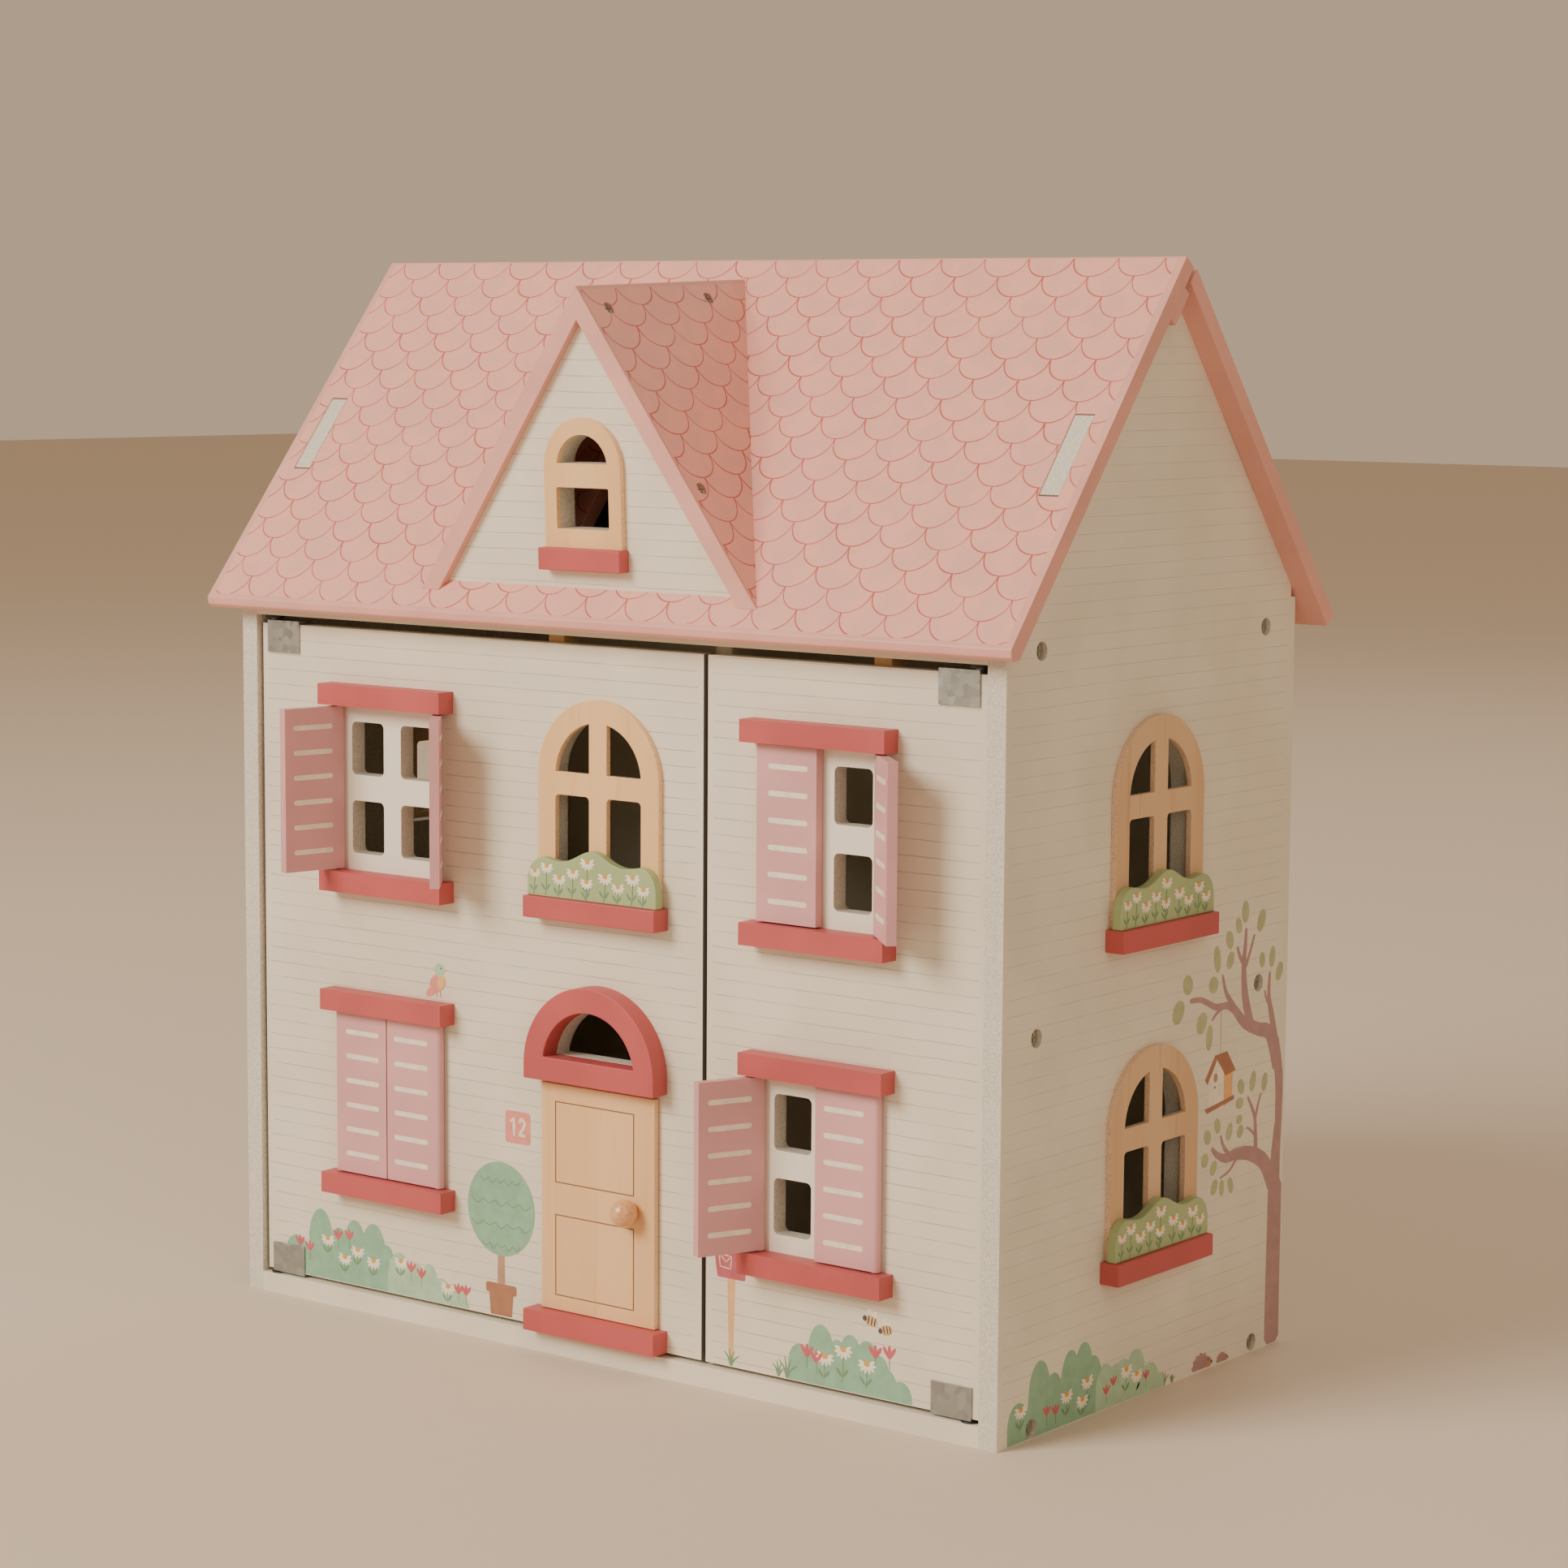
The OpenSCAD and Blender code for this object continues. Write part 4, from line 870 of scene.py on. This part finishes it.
# limbs of the tree: path, width at its start and at its end, level
LIMBS = (
    (((114.6, 0.6), (114.6, 27), (114.8, 54), (115, 83)), 13.6, 12.6, 0),
    (((114, 78), (115, 95), (117, 112)), 11.0, 6.4, 0),
    (((117, 108), (117, 131), (114.5, 143), (111, 153)), 6.2, 9.0, 0),
    (((115, 138), (107, 156), (96, 160), (83, 165), (73, 173), (66, 176)), 8.6, 3.8, 1),
    (((68, 175.5), (57, 176), (49, 179), (42, 181.5), (33, 182)), 3.6, 2.4, 1),
    (((90, 160), (84, 175), (82, 185), (81.5, 195), (82.5, 203), (83, 211)), 7.0, 1.9, 1),
    (((83, 192), (87, 199), (91, 207)), 2.6, 1.5, 1),
    (((82, 193), (77.5, 198), (75, 203)), 2.8, 1.8, 1),
    (((73, 174), (65.5, 182), (62, 191)), 3.8, 1.5, 1),
    (((66, 176), (58.5, 173.5), (53, 170)), 2.4, 1.2, 1),
    (((113, 150), (108.5, 165), (105.5, 175), (106, 187)), 6.0, 1.8, 1),
    (((105.5, 171), (102.6, 175), (101.6, 178.5)), 2.0, 1.2, 1),
    (((113, 80), (104, 93), (91, 99.5), (78, 101.5), (68, 101), (60, 104), (55, 108)), 10.0, 2.0, 1),
    (((96, 98), (95.5, 108), (94, 118), (87.5, 128)), 4.0, 1.5, 1),
    (((95, 116), (97, 122), (100, 128)), 2.2, 1.2, 1),
    (((95, 108), (91, 111), (87, 113)), 1.8, 1.0, 1),
    (((72, 101.5), (66, 107), (63, 113)), 3.0, 1.4, 1),
    (((79, 100), (72, 94.5), (63, 92)), 1.8, 1.0, 1),
)
# leaves of the tree: middle, half width, half length, turn
LEAVES = (
    (82, 219, 3.2, 5.4, 0), (97, 213, 3.4, 5.6, -24), (76, 213, 2.7, 4.0, 18), (68, 207, 3.2, 4.6, 22),
    (57, 199, 3.0, 6.6, 8), (69, 197, 3.0, 4.4, -30), (54, 187, 4.0, 4.0, 40), (31, 190, 4.2, 4.8, 26),
    (23, 178, 4.6, 6.0, -38), (44, 170, 4.2, 5.4, -34), (51, 162, 2.8, 6.2, -6), (98.5, 193.6, 2.5, 3.8, 6),
    (108, 194, 2.6, 5.2, -6), (115, 186, 3.0, 4.8, -24), (81, 134, 2.9, 3.8, 22), (92, 135, 2.6, 5.0, -14),
    (103, 133, 2.5, 4.6, -12), (80, 126, 3.4, 2.8, 0), (80, 118, 2.8, 2.2, 10), (60, 118, 2.6, 3.8, 16),
    (71, 113.5, 2.6, 4.4, -18), (81, 112, 2.6, 3.4, -26), (51, 114, 3.0, 3.8, 22), (49, 103, 3.1, 3.4, -12),
    (57, 98, 2.6, 3.8, -32), (58, 88.5, 2.6, 4.0, -28), (65, 87, 2.1, 4.0, 2), (73, 87, 2.3, 4.0, 18),
)


def wall_prints(sign):
    """Bushes, hedgehogs and a tree with a nest box on a side wall."""
    name = "right_wall_prints" if sign > 0 else "left_wall_prints"
    work = Print(name, "house", "white_paint", on_side(SIDE_FACE, sign), INKS)
    foot = 0.6
    screw = [(-95.5, 5.0, 4.3)]
    bush(work, [(-106, 8, 8.5, 11), (-89, 18, 9, 17), (-78, 14, 8, 13), (-64, 18, 8, 16.5),
                (-53, 20, 8, 16), (-45, 16, 7, 12)], foot, ink_green, 0, screw)
    bush(work, [(-35, 10, 8, 12), (-26, 10, 8, 10), (-20, 11, 8, 10), (-9, 12, 8, 11.5), (3, 6, 8, 8.5),
                (11, 3, 5, 5)], foot, ink_sage, 2)
    for u, v, stem in ((-104, 15, 9), (-67, 14, 10), (-54, 9, 7), (-50, 17, 12), (-17, 15, 11),
                       (-8, 11, 8)):
        daisy(work, u, v, 4.4, stem, 0.6)
    for u, v in ((-83, 10), (-76, 9), (-34, 9), (-28, 12), (0, 9)):
        tulip(work, u, v, 3.6)
    hedgehog(work, 49, foot + 1.8, 8.5)
    hedgehog(work, 68, foot + 1.2, 5)
    grass(work, 16, foot, 7)
    grass(work, 23, foot, 4)
    for path, start, end, level in LIMBS:
        work.stroke(ink_bark, path, start, end, level)
    for u, v, ru, rv, turn in LEAVES:
        work.ellipse(ink_leaf, u, v, ru, rv, turn, 3, 20)
    # nest box that hangs on a thread
    work.stroke(ink_trunk, [(61.5, 176), (61.5, 152)], 0.35, 0.35, 2)
    work.patch(ink_cream, [(51.5, 127), (65, 126.5), (64.5, 144), (57.5, 151), (51, 142)], 4)
    work.patch(ink_tan, [(65, 126.5), (72.5, 130.5), (73, 143), (64.5, 144)], 4)
    work.patch(ink_pot, [(57, 152.6), (67.5, 153.2), (75.5, 143), (66, 141.6)], 5)
    work.patch(ink_pot, [(57, 152.8), (58, 150), (50, 139.6), (48, 142)], 6)
    work.patch(ink_pot, [(48, 127.8), (50, 125.6), (74.5, 129), (74, 131)], 7)
    work.ellipse(ink_trunk, 57.2, 141.8, 1.7, 2.2, 0, 7, 16)
    work.ellipse(ink_trunk, 56.6, 137.3, 1.0, 0.7, 0, 7, 10)
    work.finish()


def planter_prints():
    """Rows of daisies on the planters."""
    spots = [(-35, 11.5, 3.2), (-27.5, 14.5, 3.6), (-19.5, 9.5, 3.8), (-11, 13, 3.6), (-2, 18.5, 4.0),
             (-2.5, 9, 3.6), (9, 12.5, 4.0), (17, 8.5, 3.6), (26, 13.5, 4.0), (32.5, 8.5, 3.6)]
    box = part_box("arched_planter")
    centre = (box[0][0] + box[1][0]) / 2 / MM
    jobs = [("front_planter_flowers", "left_door", on_front(box[0][1]), centre, [box[0][2] / MM])]
    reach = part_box("right_side_planters")
    lows = [reach[0][2] / MM, upper_sill / MM]
    jobs.append(("right_planter_flowers", "house", on_side(reach[1][0], 1), 0.0, lows))
    jobs.append(("left_planter_flowers", "house", on_side(reach[1][0], -1), 0.0, lows))
    for name, body, place, middle, bases in jobs:
        work = Print(name, body, "sage_paint", place, INKS)
        for base in bases:
            for u, v, size in spots:
                daisy(work, middle + u, base + v, size, v - 0.8, 0.8)
        work.finish()


LEAF_REACH = 33.05
LEAF_HALF = 2.4
STRIPES, STRIPE_STEP = 6, 12.4
STRIPE_HALF_W, STRIPE_HALF_H = 11.3, 1.25


def shutter_stripes():
    """Pale louvre stripes on both faces of every shutter, turned as the shutter is."""
    hinge_of = {joint["child"]: joint for joint in frame["record"]["behaviour"]["joints"]}
    for node in SHUTTERS:
        joint = hinge_of[node]
        side = 1 if joint["axis"][2] > 0 else -1
        opened = -joint["range_deg"][0]
        pivot = Vector(joint["pos_m"])
        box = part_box(node)
        centre_u, centre_v = LEAF_REACH / 2 + 0.3, (box[0][2] + box[1][2]) / 2 / MM
        turn = Matrix.Rotation(math.radians(side * opened), 3, "Z")
        work = Print(node + "_stripes", node, "mauve_paint", None, [ink_cream])
        for face in (-1, 1):
            def laid(u, v, w, face=face, turn=turn, pivot=pivot, side=side):
                spot = turn @ Vector((-side * u, face * (LEAF_HALF * MM + w), 0))
                return (pivot.x + spot.x, pivot.y + spot.y, v)
            work.place = laid
            for i in range(STRIPES):
                v = centre_v + (i - (STRIPES - 1) / 2) * STRIPE_STEP
                work.patch(ink_cream, [(centre_u + a * STRIPE_HALF_W, v + b * STRIPE_HALF_H)
                                       for a, b in ((-1, -1), (1, -1), (1, 1), (-1, 1))], 0, 1.2)
        work.finish()


left_door_prints()
right_door_prints()
wall_prints(1)
wall_prints(-1)
planter_prints()
shutter_stripes()


# ---------------------------------------------------------------- floor

def studio_floor():
    """A plain pale floor."""
    bm = bmesh.new()
    bmesh.ops.create_grid(bm, x_segments=2, y_segments=2, size=12)
    mesh = bpy.data.meshes.new("studio_floor")
    bm.to_mesh(mesh)
    bm.free()
    floor = bpy.data.objects.new("studio_floor", mesh)
    bpy.context.scene.collection.objects.link(floor)
    finish = Finish("floor_paper")
    finish.bump(finish.noise(300, 3), 0.2 * MM, 0.3)
    mesh.materials.append(finish.done(linear(214, 200, 182), 0.9))


studio_floor()
